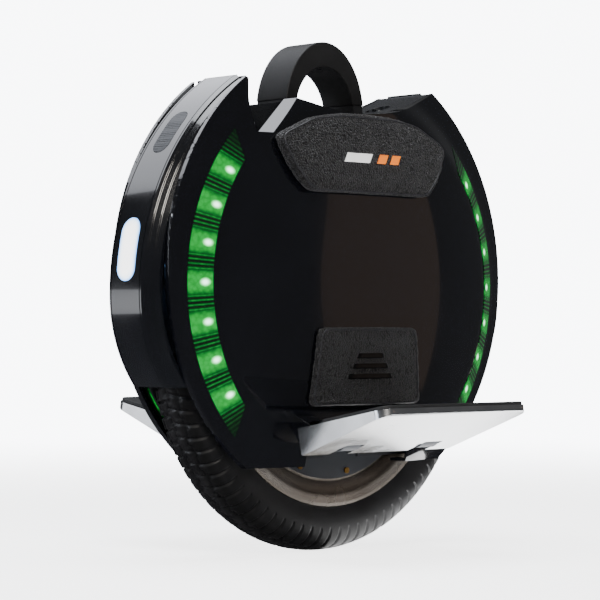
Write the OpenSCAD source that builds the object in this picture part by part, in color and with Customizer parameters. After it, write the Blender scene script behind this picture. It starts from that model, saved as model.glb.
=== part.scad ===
// Self-balancing unicycle. +X is forward, +Y is the vehicle's left, +Z is up.
// The origin is on the ground, under the middle of the tyre.

/* [Wheel] */
// Outside radius of the tyre
tyre_r = 203; // [195:1:212]
// Width of the tyre
tyre_w = 56; // [44:1:60]
// Outside radius of the rim flange
rim_r = 158; // [150:1:165]
// Radius of the round motor cover in the side of the hub
cover_r = 131; // [118:1:136]
// Radius of the axle where the bearings sit
axle_r = 12; // [9:0.5:14]

/* [Body] */
// Radius of the side shells in side view
shell_r = 228; // [222:1:240]
// Height of the centre of the side shells
shell_z = 273.6; // [270:0.2:280]
// Height of the lower edge of the side shells
shell_bottom = 88; // [80:1:96]
// Distance of the side shells' widest point from the middle plane
dome_y = 72; // [68:1:84]
// Height of the centre of the side panels and light strips
panel_z = 264; // [258:1:270]
// Wall thickness of the side shells
shell_wall = 3; // [2:0.5:4]
// Clear space between the tyre and the wheel arch
arch_gap = 8; // [6:1:12]
// Thickness of the wheel arch and of the frame plates
frame_t = 3; // [2:0.5:4]

/* [Centre band] */
// Radius of the upper part of the centre bands in side view
band_r = 246; // [242:1:256]
// Height of the centre of that radius
band_z = 253; // [250:1:258]
// Radius of the lower part of the centre bands
band_low_r = 141; // [130:1:150]
// Half width of the flat face of the centre bands
band_half = 23; // [18:1:26]
// Height of the lower end of the centre bands
band_bottom = 166; // [150:1:180]
// Distance of the upper end of the centre bands from the middle
band_top_x = 127; // [120:1:134]

/* [Handle] */
// Height of the top of the handle
handle_top = 505; // [490:1:525]
// Half length of the handle's arch, outside
handle_half = 54; // [50:1:60]
// Half length of the opening under the handle
handle_gap = 40; // [34:1:42]
// Thickness of the handle at its top
handle_t = 25; // [20:1:28]
// Width of the handle
handle_w = 44; // [36:1:50]
// Distance of the handle's middle ahead of the axle
handle_x = 8; // [0:1:12]

/* [Light strips] */
// Outer radius of the light strips
strip_out = 209; // [206:1:211]
// Inner radius of the light strips
strip_in = 188; // [184:1:192]
// Number of lamps in each strip
strip_lamps = 7; // [3:1:9]
// Angle from one lamp to the next
strip_pitch = 10.9; // [8:0.1:11]
// Height of the headlight's middle
lamp_z = 294.5; // [285:0.5:300]
// Height of the headlight lens
lamp_h = 59; // [40:1:64]
// Width of the headlight lens
lamp_w = 25; // [18:1:30]

/* [Pads] */
// Thickness of the upper leg pads
upper_pad_t = 12; // [8:1:14]
// Thickness of the lower leg pads
lower_pad_t = 5; // [3:0.5:6]
// Height of the lower edge of the lower pads
lower_pad_z = 145; // [143:1:160]
// Height of the lower pads
lower_pad_h = 78; // [60:1:84]

/* [Pedals] */
// Length of the pedals along the direction of travel
pedal_len = 202; // [180:1:220]
// Reach of the pedals outward from the hinge pin
pedal_reach = 101; // [85:1:110]
// Distance of the hinge pin from the middle plane
hinge_y = 96.5; // [96:0.5:104]
// Height of the hinge pin
hinge_z = 116; // [112:1:122]
// Upward tilt of the open pedals
pedal_tilt = 10.6; // [0:0.2:14]
// Radius of the hinge pin
hinge_pin_r = 5; // [4:0.5:6]

/* [Hidden] */
$fn = 96;
eps = 0.01;
fit = 0.3;
run_fit = 0.06;

// Shared outlines
axle_z = tyre_r;
arch_in = tyre_r + arch_gap;
arch_out = arch_in + frame_t;
plate_out = tyre_w / 2 + 4 + frame_t;
plate_in = plate_out - frame_t;
shell_in_y = plate_out + fit;
dish_low = 432;
dish_drop = 30;
dish_r = (band_top_x * band_top_x + dish_drop * dish_drop) / (2 * dish_drop);
dish_z = dish_low + dish_r;
panel_r = strip_in - 1;
panel_drop = 14;
strip_y = dome_y - 27;
strip_end = 44;
edge_y = shell_in_y + 1;
edge_r = strip_out + 23;
notch_x0 = 113;
notch_x1 = 130;
notch_z = 407;
notch_rise = 45;
deck_t = 4;
deck_half = plate_out - fit;
band_t = 4;
band_skirt = 12;
band_edge = deck_half;
arch_bottom = band_bottom + 32;

// Pedal section, measured from the hinge pin in the tilted frame
knuckle_r = 12;
lug_in = 42;
lug_out = 66;
mat_t = 2;
pedal_top = 13.4;
pedal_inner = 14.5;
mat_in = 17;

// ---------- helpers ----------

// Extrudes an outline drawn in the side view (x, z) from y0 to y1
module along_y(y0, y1) {
    translate([0, y1, 0]) rotate([90, 0, 0]) linear_extrude(y1 - y0) children();
}

// Turns a profile of (radius, y) about the Y direction through the point (x, z)
module turn_y(z, x = 0) {
    translate([x, 0, z]) rotate([-90, 0, 0]) rotate_extrude($fn = 180) children();
}

// A round bar along Y
module bar_y(r, y0, y1) {
    translate([0, y0, 0]) rotate([-90, 0, 0]) cylinder(r = r, h = y1 - y0);
}

// A round bar along X
module bar_x(r, x0, x1) {
    translate([x0, 0, 0]) rotate([0, 90, 0]) cylinder(r = r, h = x1 - x0);
}

// A block with round ends, seen along X: w wide, h high
module pill_x(w, h, x0, x1) {
    for (s = [-1, 1]) translate([0, 0, s * (h - w) / 2]) bar_x(w / 2, x0, x1);
    translate([x0, -w / 2, -(h - w) / 2]) cube([x1 - x0, w, h - w]);
}

function polar(r, a) = [r * cos(a), r * sin(a)];

function unit(v) = v / norm(v);

// An outline with each corner rounded over a length r of both its sides
function rounded(p, r) = [
    for (i = [0:len(p) - 1], t = [0:0.25:1]) let (
        b = p[i],
        start = b + r * unit(p[(i + len(p) - 1) % len(p)] - b),
        finish = b + r * unit(p[(i + 1) % len(p)] - b)
    ) (1 - t) * (1 - t) * start + 2 * t * (1 - t) * b + t * t * finish
];

module mirror_right() {
    mirror([0, 1, 0]) children();
}

// ---------- side shells ----------

// Distance of the side panel's surface from the middle plane, at radius r
function dome(r) = dome_y - panel_drop * pow(r / panel_r, 3);

// Half section of the side shell, pulled in by s
function dome_profile(s) = concat(
    [[0, 0]],
    [for (i = [0:12]) [panel_r * i / 12, dome(panel_r * i / 12) - s]],
    [[strip_out + 1 - s / 2, strip_y - s], [edge_r, edge_y + 4 - s], [edge_r + 60, edge_y - 8]],
    [[edge_r + 60, 0]]
);

function notch_points(s) = [
    [notch_x0 - s, notch_z - s], [notch_x1 + s, notch_z - s], [notch_x1 + s, 600],
    [notch_x0 - notch_rise - s, 600], [notch_x0 - notch_rise - s, 452]
];

// Side view of the side shell, pulled in by s
module shell_outline(s) {
    difference() {
        translate([0, shell_z]) circle(shell_r - s, $fn = 180);
        translate([-300, shell_bottom + s - 400]) square([600, 400]);
        translate([0, dish_z]) circle(dish_r + s, $fn = 180);
        translate([-300, 480]) square([600, 200]);
        polygon(notch_points(s));
    }
}

// Side view of one light strip, grown by g
module strip_outline(g) {
    tip = polar(strip_out + g, strip_end + g / 2);
    root = polar(strip_in - g, strip_end - 6 + g / 2);
    far = root + 2 * (tip - root);
    translate([0, panel_z]) intersection() {
        difference() {
            circle(strip_out + g, $fn = 180);
            circle(strip_in - g, $fn = 180);
        }
        polygon([[0, 0], [root[0], -root[1] - g], [far[0], -far[1] - g], [strip_out + 90, -far[1] - g],
                 [strip_out + 90, far[1] + g], [far[0], far[1] + g], [root[0], root[1] + g]]);
    }
}

// The cut in the shell's lower edge for the pedal hanger
slot_side = 4;
slot_top = shell_bottom + 44;

module hanger_slot() {
    translate([-lug_out - slot_side, shell_in_y - 5, shell_bottom - 5]) {
        cube([2 * (lug_out + slot_side), 60, slot_top - shell_bottom + 5]);
    }
}

// Places of the four screws in each shell
shell_screw_spots = [[104, 396], [-104, 396], [135, 150], [-135, 150]];
screw_r = 1.6;
boss_r = 5;

module at_shell_screws() {
    for (spot = shell_screw_spots) translate([spot[0], 0, spot[1]]) children();
}

module side_shell() {
    difference() {
        intersection() {
            along_y(shell_in_y, dome_y + 5) shell_outline(0);
            turn_y(panel_z) polygon(dome_profile(0));
        }
        intersection() {
            along_y(shell_in_y - 1, dome_y + 5) shell_outline(shell_wall);
            turn_y(panel_z) polygon(dome_profile(shell_wall));
        }
        along_y(shell_in_y + 2, dome_y) {
            strip_outline(fit);
            mirror([1, 0]) strip_outline(fit);
        }
        hanger_slot();
    }
    difference() {
        intersection() {
            at_shell_screws() bar_y(boss_r, shell_in_y, dome_y);
            turn_y(panel_z) polygon(dome_profile(1));
        }
        at_shell_screws() bar_y(screw_r + run_fit, shell_in_y - 1, shell_in_y + 12);
    }
}

module left_side_shell() {
    color("#0b0c10") side_shell();
}

module right_side_shell() {
    color("#0b0c10") mirror_right() side_shell();
}

// ---------- frame ----------

// Side view of the frame plates, inside the bands and under the deck
module plate_outline() {
    difference() {
        intersection() {
            translate([0, shell_z]) circle(shell_r - 10, $fn = 180);
            translate([0, band_z]) circle(band_r - band_skirt - band_t - 0.5, $fn = 180);
        }
        translate([-300, shell_bottom + 6 - 400]) square([600, 400]);
        translate([0, dish_z]) circle(dish_r + deck_t + fit, $fn = 180);
        translate([-300, 480]) square([600, 200]);
        translate([well_x - deck_t, floor_z - deck_t - fit]) square([200, 200]);
        translate([0, axle_z]) circle(24);
        translate([-24, 0]) square([48, axle_z]);
    }
}

module frame_plate() {
    difference() {
        along_y(plate_in, plate_out) plate_outline();
        at_shell_screws() bar_y(screw_r + run_fit, plate_in - 1, plate_out + 1);
    }
}

module left_frame_plate() {
    color("#24262b") frame_plate();
}

module right_frame_plate() {
    color("#24262b") mirror_right() frame_plate();
}

module wheel_arch() {
    color("#1c1d20") along_y(-plate_in, plate_in) difference() {
        translate([0, axle_z]) circle(arch_out, $fn = 180);
        translate([0, axle_z]) circle(arch_in, $fn = 180);
        translate([-300, arch_bottom - 400]) square([600, 400]);
    }
}

// ---------- centre bands and deck ----------

function band_section(r) = [
    [r, -band_half], [r, band_half], [r - band_skirt, band_edge], [r - band_skirt - band_t, band_edge],
    [r - band_t, band_half - 1], [r - band_t, 1 - band_half],
    [r - band_skirt - band_t, -band_edge], [r - band_skirt, -band_edge]
];

module centre_band() {
    intersection() {
        turn_y(band_z) polygon(band_section(band_r));
        translate([band_top_x, -60, band_z]) cube([200, 120, 300]);
    }
    intersection() {
        turn_y(band_z, band_r - band_low_r) polygon(band_section(band_low_r));
        translate([band_top_x, -60, band_bottom]) cube([200, 120, band_z - band_bottom]);
    }
}

speaker_a = 38.8;
speaker_w = 22;
speaker_h = 52;

// Moves a shape drawn along X to the speaker's place on the band
module at_speaker() {
    translate([0, 0, band_z]) rotate([0, -speaker_a, 0]) children();
}

module front_band() {
    color("#101216") difference() {
        centre_band();
        translate([0, 0, lamp_z]) pill_x(lamp_w + 2 * fit, lamp_h + 2 * fit, band_r - 60, band_r + 9);
        at_speaker() pill_x(speaker_w + 2 * fit, speaker_h + 2 * fit, band_r - 30, band_r + 9);
    }
}

module rear_band() {
    color("#101216") mirror([1, 0, 0]) difference() {
        centre_band();
        translate([0, 0, lamp_z]) pill_x(lamp_w + 2 * fit, lamp_h + 2 * fit, band_r - 60, band_r + 9);
    }
}

socket_x = 98;
socket_r = 8;
button_x = -88;
button_r = 9;
stem_r = 6;
pocket_r = 13;
bolt_r = 2.5;
floor_z = 410;
well_x = 72;
button_floor = dish_z - sqrt(dish_r * dish_r - pow(-button_x - pocket_r, 2)) - 2;

foot_x = [handle_x + (handle_half + handle_gap) / 2, handle_x - (handle_half + handle_gap) / 2];
foot_top = 433;
deck_reach = band_top_x - fit;

// Side view of the deck: a dished plate behind the handle's front foot, and a well in front of it
module deck_outline() {
    intersection() {
        difference() {
            translate([0, dish_z]) circle(dish_r + deck_t, $fn = 180);
            translate([0, dish_z]) circle(dish_r, $fn = 180);
        }
        translate([-deck_reach, floor_z - deck_t]) square([deck_reach + well_x, 80]);
    }
    difference() {
        union() {
            translate([well_x - deck_t, floor_z - deck_t]) square([deck_reach - well_x + deck_t, deck_t]);
            translate([well_x - deck_t, floor_z - deck_t]) square([deck_t, 60]);
            translate([deck_reach - deck_t, floor_z - deck_t]) square([deck_t, 60]);
        }
        translate([0, dish_z]) circle(dish_r, $fn = 180);
    }
}

module deck_bosses() {
    for (x = foot_x) translate([x, 0, dish_low - 12]) cylinder(r = 6.5, h = 24);
    translate([button_x, 0, button_floor - 8]) cylinder(r = pocket_r + 2, h = 14);
}

module top_deck() {
    color("#131418") difference() {
        union() {
            along_y(-deck_half, deck_half) deck_outline();
            intersection() {
                deck_bosses();
                along_y(-deck_half, deck_half) difference() {
                    translate([-deck_reach, 418]) square([2 * deck_reach, 80]);
                    translate([0, dish_z]) circle(dish_r, $fn = 180);
                }
            }
        }
        translate([socket_x, 0, floor_z - 20]) cylinder(r = socket_r + run_fit, h = 40);
        translate([button_x, 0, button_floor]) cylinder(r = pocket_r, h = 40);
        translate([button_x, 0, button_floor - 20]) cylinder(r = stem_r + run_fit, h = 40);
        for (x = foot_x) translate([x, 0, 410]) cylinder(r = bolt_r + run_fit, h = 60);
    }
}

// ---------- handle ----------

module half_ellipse(a, b, z) {
    polygon([for (i = [0:40]) [handle_x + a * cos(180 * i / 40), z + b * sin(180 * i / 40)]]);
}

// Side view of the handle, its faces moved in by s, with its feet at height z
module handle_outline(s, z) {
    difference() {
        union() {
            half_ellipse(handle_half - s, handle_top - foot_top - s, foot_top);
            translate([handle_x - handle_half + s, z]) square([2 * (handle_half - s), foot_top - z]);
        }
        half_ellipse(handle_gap + s, handle_top - handle_t - foot_top + s, foot_top);
        translate([handle_x - handle_gap - s, z - 1]) square([2 * (handle_gap + s), foot_top - z + 1]);
    }
}

grip_bottom = 445;
core_inset = 2.5;
collar_top = grip_bottom;
lift_w = 14;
lift_len = 22;
lift_z = handle_top - handle_t;

module lift_shaft(g) {
    translate([handle_x, 0, lift_z + 5]) cube([lift_len + 2 * g, lift_w + 2 * g, 22], center = true);
}

module handle_core() {
    color("#3a3b3f") difference() {
        along_y(-handle_w / 2 + 9, handle_w / 2 - 9) difference() {
            handle_outline(core_inset, dish_low - 2);
            translate([0, dish_z]) difference() {
                translate([-300, -dish_r - 60]) square([600, 90]);
                circle(dish_r - 0.1, $fn = 180);
            }
        }
        lift_shaft(fit);
        for (x = foot_x) translate([x, 0, 400]) cylinder(r = bolt_r + run_fit, h = 52);
    }
}

module handle_grip() {
    color("#1b1b1c") difference() {
        along_y(-handle_w / 2, handle_w / 2) intersection() {
            handle_outline(0, foot_top - 1);
            translate([-300, grip_bottom]) square([600, 100]);
        }
        along_y(-handle_w / 2 + 9 - run_fit, handle_w / 2 - 9 + run_fit) handle_outline(core_inset, 400);
        lift_shaft(fit);
    }
}

module handle_collars() {
    color("#222325") difference() {
        along_y(-handle_w / 2 + 1, handle_w / 2 - 1) intersection() {
            handle_outline(1, foot_top - 5);
            difference() {
                translate([-300, foot_top - 5]) square([600, collar_top - foot_top + 5]);
                translate([0, dish_z]) difference() {
                    translate([-300, -dish_r - 60]) square([600, 90]);
                    circle(dish_r - 0.1, $fn = 180);
                }
            }
        }
        along_y(-handle_w / 2 + 9 - run_fit, handle_w / 2 - 9 + run_fit) handle_outline(core_inset, 400);
    }
}

module handle_bolts() {
    color("#8d9096") for (x = foot_x) translate([x, 0, 0]) {
        translate([0, 0, dish_low - 15.2]) cylinder(r = 5.5, h = 3.1);
        translate([0, 0, dish_low - 12.2]) cylinder(r = bolt_r, h = 28);
    }
}

module lift_button() {
    color("#c23a2c") translate([handle_x, 0, lift_z - 1]) {
        translate([-lift_len / 2, -lift_w / 2, 0]) cube([lift_len, lift_w, 8]);
    }
}

// ---------- lights and speaker ----------

lens_t = 3;
lens_back = band_r - 20;

// The space inside a turned face of radius r about the centre of the bands
module inside_band(r) {
    turn_y(band_z) square([r, 40]);
    turn_y(band_z) translate([0, -40]) square([r, 40 + eps]);
}

module lens_body() {
    difference() {
        intersection() {
            translate([0, 0, lamp_z]) pill_x(lamp_w, lamp_h, lens_back, band_r + 9);
            inside_band(band_r + 0.4);
        }
        intersection() {
            translate([0, 0, lamp_z]) pill_x(lamp_w - 3, lamp_h - 3, lens_back - 1, band_r + 9);
            inside_band(band_r + 0.4 - lens_t);
        }
    }
}

module headlight_lens() {
    color("#eaf6ff") lens_body();
}

module headlight_reflector() {
    color("#d5d8dc") difference() {
        intersection() {
            translate([0, 0, lamp_z]) pill_x(lamp_w - 3.4, lamp_h - 3.4, lens_back, band_r);
            inside_band(band_r - 8);
        }
        translate([0, 0, lamp_z]) pill_x(lamp_w - 6, lamp_h - 6, lens_back + 1.5, band_r);
    }
}

module lamp_board() {
    translate([0, 0, lamp_z]) pill_x(lamp_w, lamp_h, lens_back - 2, lens_back - 0.05);
}

module headlight_board() {
    color("#1f6b3a") lamp_board();
}

module tail_light_lens() {
    color("#a01414") mirror([1, 0, 0]) lens_body();
}

module tail_light_board() {
    color("#1f6b3a") mirror([1, 0, 0]) lamp_board();
}

module speaker_grille() {
    color("#6e7176") intersection() {
        at_speaker() pill_x(speaker_w, speaker_h, band_r - 12, band_r + 9);
        turn_y(band_z) polygon([[band_r - band_t, -40], [band_r + 0.2, -40], [band_r + 0.2, 40],
                                [band_r - band_t, 40]]);
    }
}

module speaker() {
    color("#1a1a1c") at_speaker() {
        pill_x(speaker_w + 6, speaker_h - 4, band_r - 11, band_r - band_t - 1.6);
        bar_x(9, band_r - 26, band_r - 11);
    }
}

// Solid between two copies of the shell's section, pulled in by s0 and s1
module skin(s0, s1) {
    difference() {
        turn_y(panel_z) polygon(dome_profile(s0));
        turn_y(panel_z) polygon(dome_profile(s1));
    }
}

module light_strip() {
    intersection() {
        along_y(shell_in_y + 2, dome_y) strip_outline(0);
        skin(-0.4, 4);
    }
}

module front_left_strip() {
    color("#17d94b") light_strip();
}

module front_right_strip() {
    color("#17d94b") mirror_right() light_strip();
}

module rear_left_strip() {
    color("#17d94b") mirror([1, 0, 0]) light_strip();
}

module rear_right_strip() {
    color("#17d94b") mirror([1, 0, 0]) mirror_right() light_strip();
}

module strip_board() {
    along_y(shell_in_y + 0.5, shell_in_y + 2) strip_outline(-3);
    for (i = [0:strip_lamps - 1]) {
        a = (i - (strip_lamps - 1) / 2) * strip_pitch;
        spot = polar((strip_in + strip_out) / 2 + 2, a);
        translate([spot[0], 0, panel_z + spot[1]]) bar_y(2.5, shell_in_y + 2, shell_in_y + 3.5);
    }
}

module strip_boards() {
    color("#1f6b3a") for (side = [0, 1], end = [0, 1]) {
        mirror([0, side, 0]) mirror([end, 0, 0]) strip_board();
    }
}

// ---------- leg pads ----------

upper_pad_half = [[84, 351], [104, 374], [118, 404], [76, 424], [40, 430]];
upper_pad_points = concat(
    upper_pad_half, [[0, 432]],
    [for (i = [len(upper_pad_half) - 1:-1:0]) [-upper_pad_half[i][0], upper_pad_half[i][1]]]
);
pad_corner = 9;

module upper_pad() {
    intersection() {
        along_y(40, 100) polygon(rounded(upper_pad_points, pad_corner));
        skin(-upper_pad_t, -fit);
    }
}

lower_pad_points = [
    [-78, lower_pad_z], [78, lower_pad_z], [69, lower_pad_z + lower_pad_h],
    [-69, lower_pad_z + lower_pad_h]
];

module lower_pad() {
    intersection() {
        along_y(40, 100) polygon(rounded(lower_pad_points, pad_corner));
        skin(-lower_pad_t, -fit);
    }
}

module left_upper_pad() {
    color("#1d1d1f") upper_pad();
}

module right_upper_pad() {
    color("#1d1d1f") mirror_right() upper_pad();
}

module left_lower_pad() {
    color("#1d1d1f") lower_pad();
}

module right_lower_pad() {
    color("#1d1d1f") mirror_right() lower_pad();
}

// ---------- hangers and axle ----------

hanger_y0 = plate_out + fit;
hanger_t = 12;
axle_end_r = 10;
nut_t = 8;

module hanger() {
    difference() {
        union() {
            translate([-40, hanger_y0, hinge_z - knuckle_r]) {
                cube([80, hanger_t, axle_z + 34 - hinge_z + knuckle_r]);
            }
            translate([-lug_out, hanger_y0, hinge_z - knuckle_r]) {
                cube([2 * lug_out, hanger_t, 2 * knuckle_r]);
            }
            for (s = [-1, 1]) {
                translate([s > 0 ? lug_in : -lug_out, hanger_y0, hinge_z - knuckle_r]) {
                    cube([lug_out - lug_in, hinge_y - hanger_y0, 2 * knuckle_r]);
                }
                translate([0, hinge_y, hinge_z]) {
                    bar_x(knuckle_r, s > 0 ? lug_in : -lug_out, s > 0 ? lug_out : -lug_in);
                }
            }
        }
        translate([0, hinge_y, hinge_z]) bar_x(hinge_pin_r + 0.02, -lug_out - 1, lug_out + 1);
        translate([0, 0, axle_z]) bar_y(axle_end_r + 0.05, hanger_y0 - 1, hanger_y0 + hanger_t + 1);
    }
}

module left_hanger() {
    color("#6c6f75") hanger();
}

module right_hanger() {
    color("#6c6f75") mirror_right() hanger();
}

pin_end = lug_out + 8;

module hinge_pins() {
    color("#a9adb3") for (s = [-1, 1]) translate([0, s * hinge_y, hinge_z]) {
        bar_x(hinge_pin_r, -pin_end, pin_end);
    }
}

axle_half = hanger_y0 + hanger_t + nut_t + 2;

module axle() {
    color("#9da1a7") translate([0, 0, axle_z]) {
        bar_y(axle_r, 0.2 - hanger_y0, hanger_y0 - 0.2);
        bar_y(axle_end_r, -axle_half, axle_half);
    }
}

module axle_nuts() {
    color("#8b8f95") for (s = [0, 1]) mirror([0, s, 0]) translate([0, 0, axle_z]) difference() {
        translate([0, hanger_y0 + hanger_t, 0]) rotate([-90, 0, 0]) cylinder(r = 17, h = nut_t, $fn = 6);
        bar_y(axle_end_r + 0.05, 0, axle_half + 5);
    }
}

// ---------- motor and wheel ----------

stator_r = 112;
stator_half = 14;
magnet_r = 117;
magnet_t = 3;
hub_half = 20;
bearing_r = 22;
bearing_half = 27;
slots = 36;

module stator() {
    color("#5b5e63") translate([0, 0, axle_z]) difference() {
        union() {
            difference() {
                bar_y(stator_r, -stator_half, stator_half);
                bar_y(76, -stator_half - 1, stator_half + 1);
            }
            difference() {
                bar_y(76 + eps, -5, 5);
                for (i = [0:5]) rotate([0, 60 * i, 0]) translate([50, 0, 0]) bar_y(15, -9, 9);
            }
            bar_y(24, -stator_half, stator_half);
        }
        bar_y(axle_r + 0.02, -30, 30);
        for (i = [0:slots - 1]) rotate([0, 360 * i / slots, 0]) {
            translate([98, -stator_half - 1, -1.2]) cube([20, 2 * stator_half + 2, 2.4]);
        }
    }
}

module stator_windings() {
    color("#b8652c") for (s = [0, 1]) mirror([0, s, 0]) translate([0, 0, axle_z]) difference() {
        bar_y(108, stator_half, stator_half + 4.5);
        bar_y(84, 0, 40);
    }
}

rim_points = [
    [magnet_r, -hub_half], [cover_r + 1, -hub_half], [rim_r - 3, -tyre_w / 2 + 2],
    [rim_r, -tyre_w / 2 + 2], [rim_r, -tyre_w / 2 + 5], [rim_r - 9, -tyre_w / 2 + 7],
    [rim_r - 10, -12], [rim_r - 16, -9], [rim_r - 16, 9], [rim_r - 10, 12],
    [rim_r - 9, tyre_w / 2 - 7], [rim_r, tyre_w / 2 - 5], [rim_r, tyre_w / 2 - 2],
    [rim_r - 3, tyre_w / 2 - 2], [cover_r + 1, hub_half], [magnet_r, hub_half]
];

valve_a = -62;
valve_r = 3;
valve_len = 31;

module motor_housing() {
    color("#8a8076") difference() {
        turn_y(axle_z) polygon(rim_points);
        at_valve() bar_x(valve_r + run_fit, 0, valve_len + 20);
    }
}

// Moves a bar along X onto the valve's slanted line, out through the right side of the rim
module at_valve() {
    mirror_right() rotate_about_axle(valve_a) translate([rim_r - 1, 6, 0]) rotate([0, 0, 135]) children();
}

screw_ring = cover_r - 6;
screw_count = 12;
screw_turn = 21;
cover_in = hub_half + 0.05;

module motor_cover() {
    difference() {
        turn_y(axle_z) polygon([
            [bearing_r + run_fit, stator_half + 6], [60, stator_half + 6.2], [112, cover_in],
            [cover_r, cover_in], [cover_r, cover_in + 2.5], [112, cover_in + 3.6], [60, bearing_half + 1],
            [bearing_r + 8, bearing_half + 2], [bearing_r + run_fit, bearing_half + 2]
        ]);
        for (i = [0:screw_count - 1]) rotate_about_axle(360 * i / screw_count + screw_turn) {
            translate([screw_ring, 0, 0]) bar_y(1.6, cover_in - 1, cover_in + 9);
        }
    }
}

module rotate_about_axle(a) {
    translate([0, 0, axle_z]) rotate([0, -a, 0]) children();
}

module left_motor_cover() {
    color("#202226") motor_cover();
}

module right_motor_cover() {
    color("#202226") mirror_right() motor_cover();
}

module cover_screws() {
    color("#b59a62") for (s = [0, 1]) mirror([0, s, 0]) {
        for (i = [0:screw_count - 1]) rotate_about_axle(360 * i / screw_count + screw_turn) {
            translate([screw_ring, 0, 0]) {
                bar_y(1.5, cover_in + 0.1, cover_in + 4.4);
                bar_y(3, cover_in + 3.2, cover_in + 4.6);
            }
        }
    }
}

magnet_count = 40;

module rotor_magnets() {
    color("#b9bcc0") for (i = [0:magnet_count - 1]) rotate_about_axle(360 * i / magnet_count) {
        translate([magnet_r - magnet_t - 0.4, -stator_half, -7.5]) cube([magnet_t, 2 * stator_half, 15]);
    }
}

module wheel_bearings() {
    color("#c9ccd1") for (s = [0, 1]) mirror([0, s, 0]) translate([0, 0, axle_z]) difference() {
        bar_y(bearing_r, stator_half + 7, bearing_half + 1);
        bar_y(axle_r + run_fit, 0, 40);
    }
}

bead_r = rim_r - 8.8;
tyre_mid = rim_r + 19;

function tyre_side(r) = tyre_w / 2 * pow(max(0, 1 - pow(abs(r - tyre_mid) / (tyre_r - tyre_mid), 2.6)), 0.5);

// Right half of the tyre's section from the bead to the crown, as (radius, y)
tyre_outer = concat(
    [[bead_r, tyre_w / 2 - 10], [bead_r, tyre_w / 2 - 7.3], [rim_r + 1, tyre_w / 2 - 5.6]],
    [[tyre_mid - 8, tyre_w / 2 - 1.5]],
    [for (i = [0:9]) let (r = tyre_mid + (tyre_r - tyre_mid) * sin(10 * i)) [r, tyre_side(r)]]
);
tyre_inner = [
    [tyre_r - 9, 0], [tyre_r - 11, tyre_w / 2 - 14], [tyre_mid + 6, tyre_w / 2 - 6],
    [tyre_mid - 6, tyre_w / 2 - 6], [rim_r + 2, tyre_w / 2 - 10]
];

function flip(points) = [for (i = [len(points) - 1:-1:0]) [points[i][0], -points[i][1]]];

module tyre() {
    color("#19191a") turn_y(axle_z) {
        polygon(concat(tyre_outer, flip(concat(tyre_outer, [[tyre_r, 0]])), flip(tyre_inner), tyre_inner));
    }
}

tube_r = 18;
tube_mid = rim_r + 17;

module inner_tube() {
    color("#2b2b2d") translate([0, 0, axle_z]) rotate([-90, 0, 0]) rotate_extrude($fn = 96) {
        translate([tube_mid, 0]) difference() {
            circle(tube_r, $fn = 32);
            circle(tube_r - 1.5, $fn = 32);
        }
    }
}

module valve() {
    color("#c9a24a") at_valve() bar_x(valve_r, 0, valve_len);
}

// ---------- pedals ----------

// Moves the pedal's own frame, with its pin at the origin, to its open place
module at_pedal() {
    translate([0, hinge_y, hinge_z]) rotate([pedal_tilt, 0, 0]) children();
}

module pedal_section() {
    rotate([90, 0, 90]) linear_extrude(pedal_len, center = true) polygon([
        [-pedal_inner, -11], [2 - pedal_inner, -13], [0, -10.8], [pedal_reach - 3, 6.6],
        [pedal_reach, 8.2], [pedal_reach + 1, 10], [pedal_reach, pedal_top],
        [-pedal_inner, pedal_top]
    ]);
}

module pedal_plan(grow) {
    corner = 16 + grow;
    half = pedal_len / 2 + grow;
    reach = pedal_reach + 1 + grow;
    union() {
        translate([-half, -30]) square([2 * half, reach + 30 - corner]);
        translate([corner - half, -30]) square([2 * half - 2 * corner, reach + 30]);
        for (s = [-1, 1]) translate([s * (half - corner), reach - corner]) circle(corner);
    }
}

module pedal() {
    at_pedal() difference() {
        intersection() {
            pedal_section();
            translate([0, 0, -40]) linear_extrude(80) pedal_plan(0);
        }
        for (s = [-1, 1]) {
            translate([s > 0 ? lug_in - 0.5 : -lug_out - 0.5, -30, -40]) {
                cube([lug_out - lug_in + 1, 30 + knuckle_r + 1.5, 80]);
            }
            for (x = magnet_spots) translate([x, magnet_u, pedal_top - 3.2]) cylinder(r = 6.05, h = 10);
        }
        bar_x(hinge_pin_r + run_fit, -pin_end - 0.5, pin_end + 0.5);
    }
}

mat_rim = 6;

module pedal_mat() {
    at_pedal() translate([0, 0, pedal_top]) intersection() {
        linear_extrude(mat_t) pedal_plan(-mat_rim);
        translate([-200, mat_in, -1]) cube([400, 200, 20]);
    }
}

magnet_spots = [-84, 84];
magnet_u = -2;

module pedal_magnets() {
    at_pedal() for (x = magnet_spots) {
        translate([x, magnet_u, pedal_top - 3.2]) cylinder(r = 6, h = 3);
    }
}

module left_pedal() {
    color("#c6c9cd") pedal();
}

module right_pedal() {
    color("#c6c9cd") mirror_right() pedal();
}

module left_pedal_mat() {
    color("#18181a") pedal_mat();
}

module right_pedal_mat() {
    color("#18181a") mirror_right() pedal_mat();
}

module pedal_magnets_left() {
    color("#d8dade") pedal_magnets();
}

module pedal_magnets_right() {
    color("#d8dade") mirror_right() pedal_magnets();
}

// ---------- inside ----------

cell_y0 = plate_out + 0.2;

module battery() {
    along_y(cell_y0, cell_y0 + 18) polygon([
        [-112, 262], [112, 262], [118, 270], [118, 352], [84, 400], [-84, 400], [-118, 352], [-118, 270]
    ]);
}

module left_battery() {
    color("#2c4f8c") battery();
}

module right_battery() {
    color("#2c4f8c") mirror_right() battery();
}

board_x = 62;
board_z = 160;
board_w = 80;
board_h = 84;
sink_t = 4;
fin_h = 7;

module heat_sink() {
    color("#9aa0a6") mirror_right() {
        translate([board_x, cell_y0, board_z]) cube([board_w, sink_t, board_h]);
        for (i = [0:9]) translate([board_x + 2 + 8 * i, cell_y0 + sink_t, board_z]) cube([2, fin_h, board_h]);
    }
}

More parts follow.
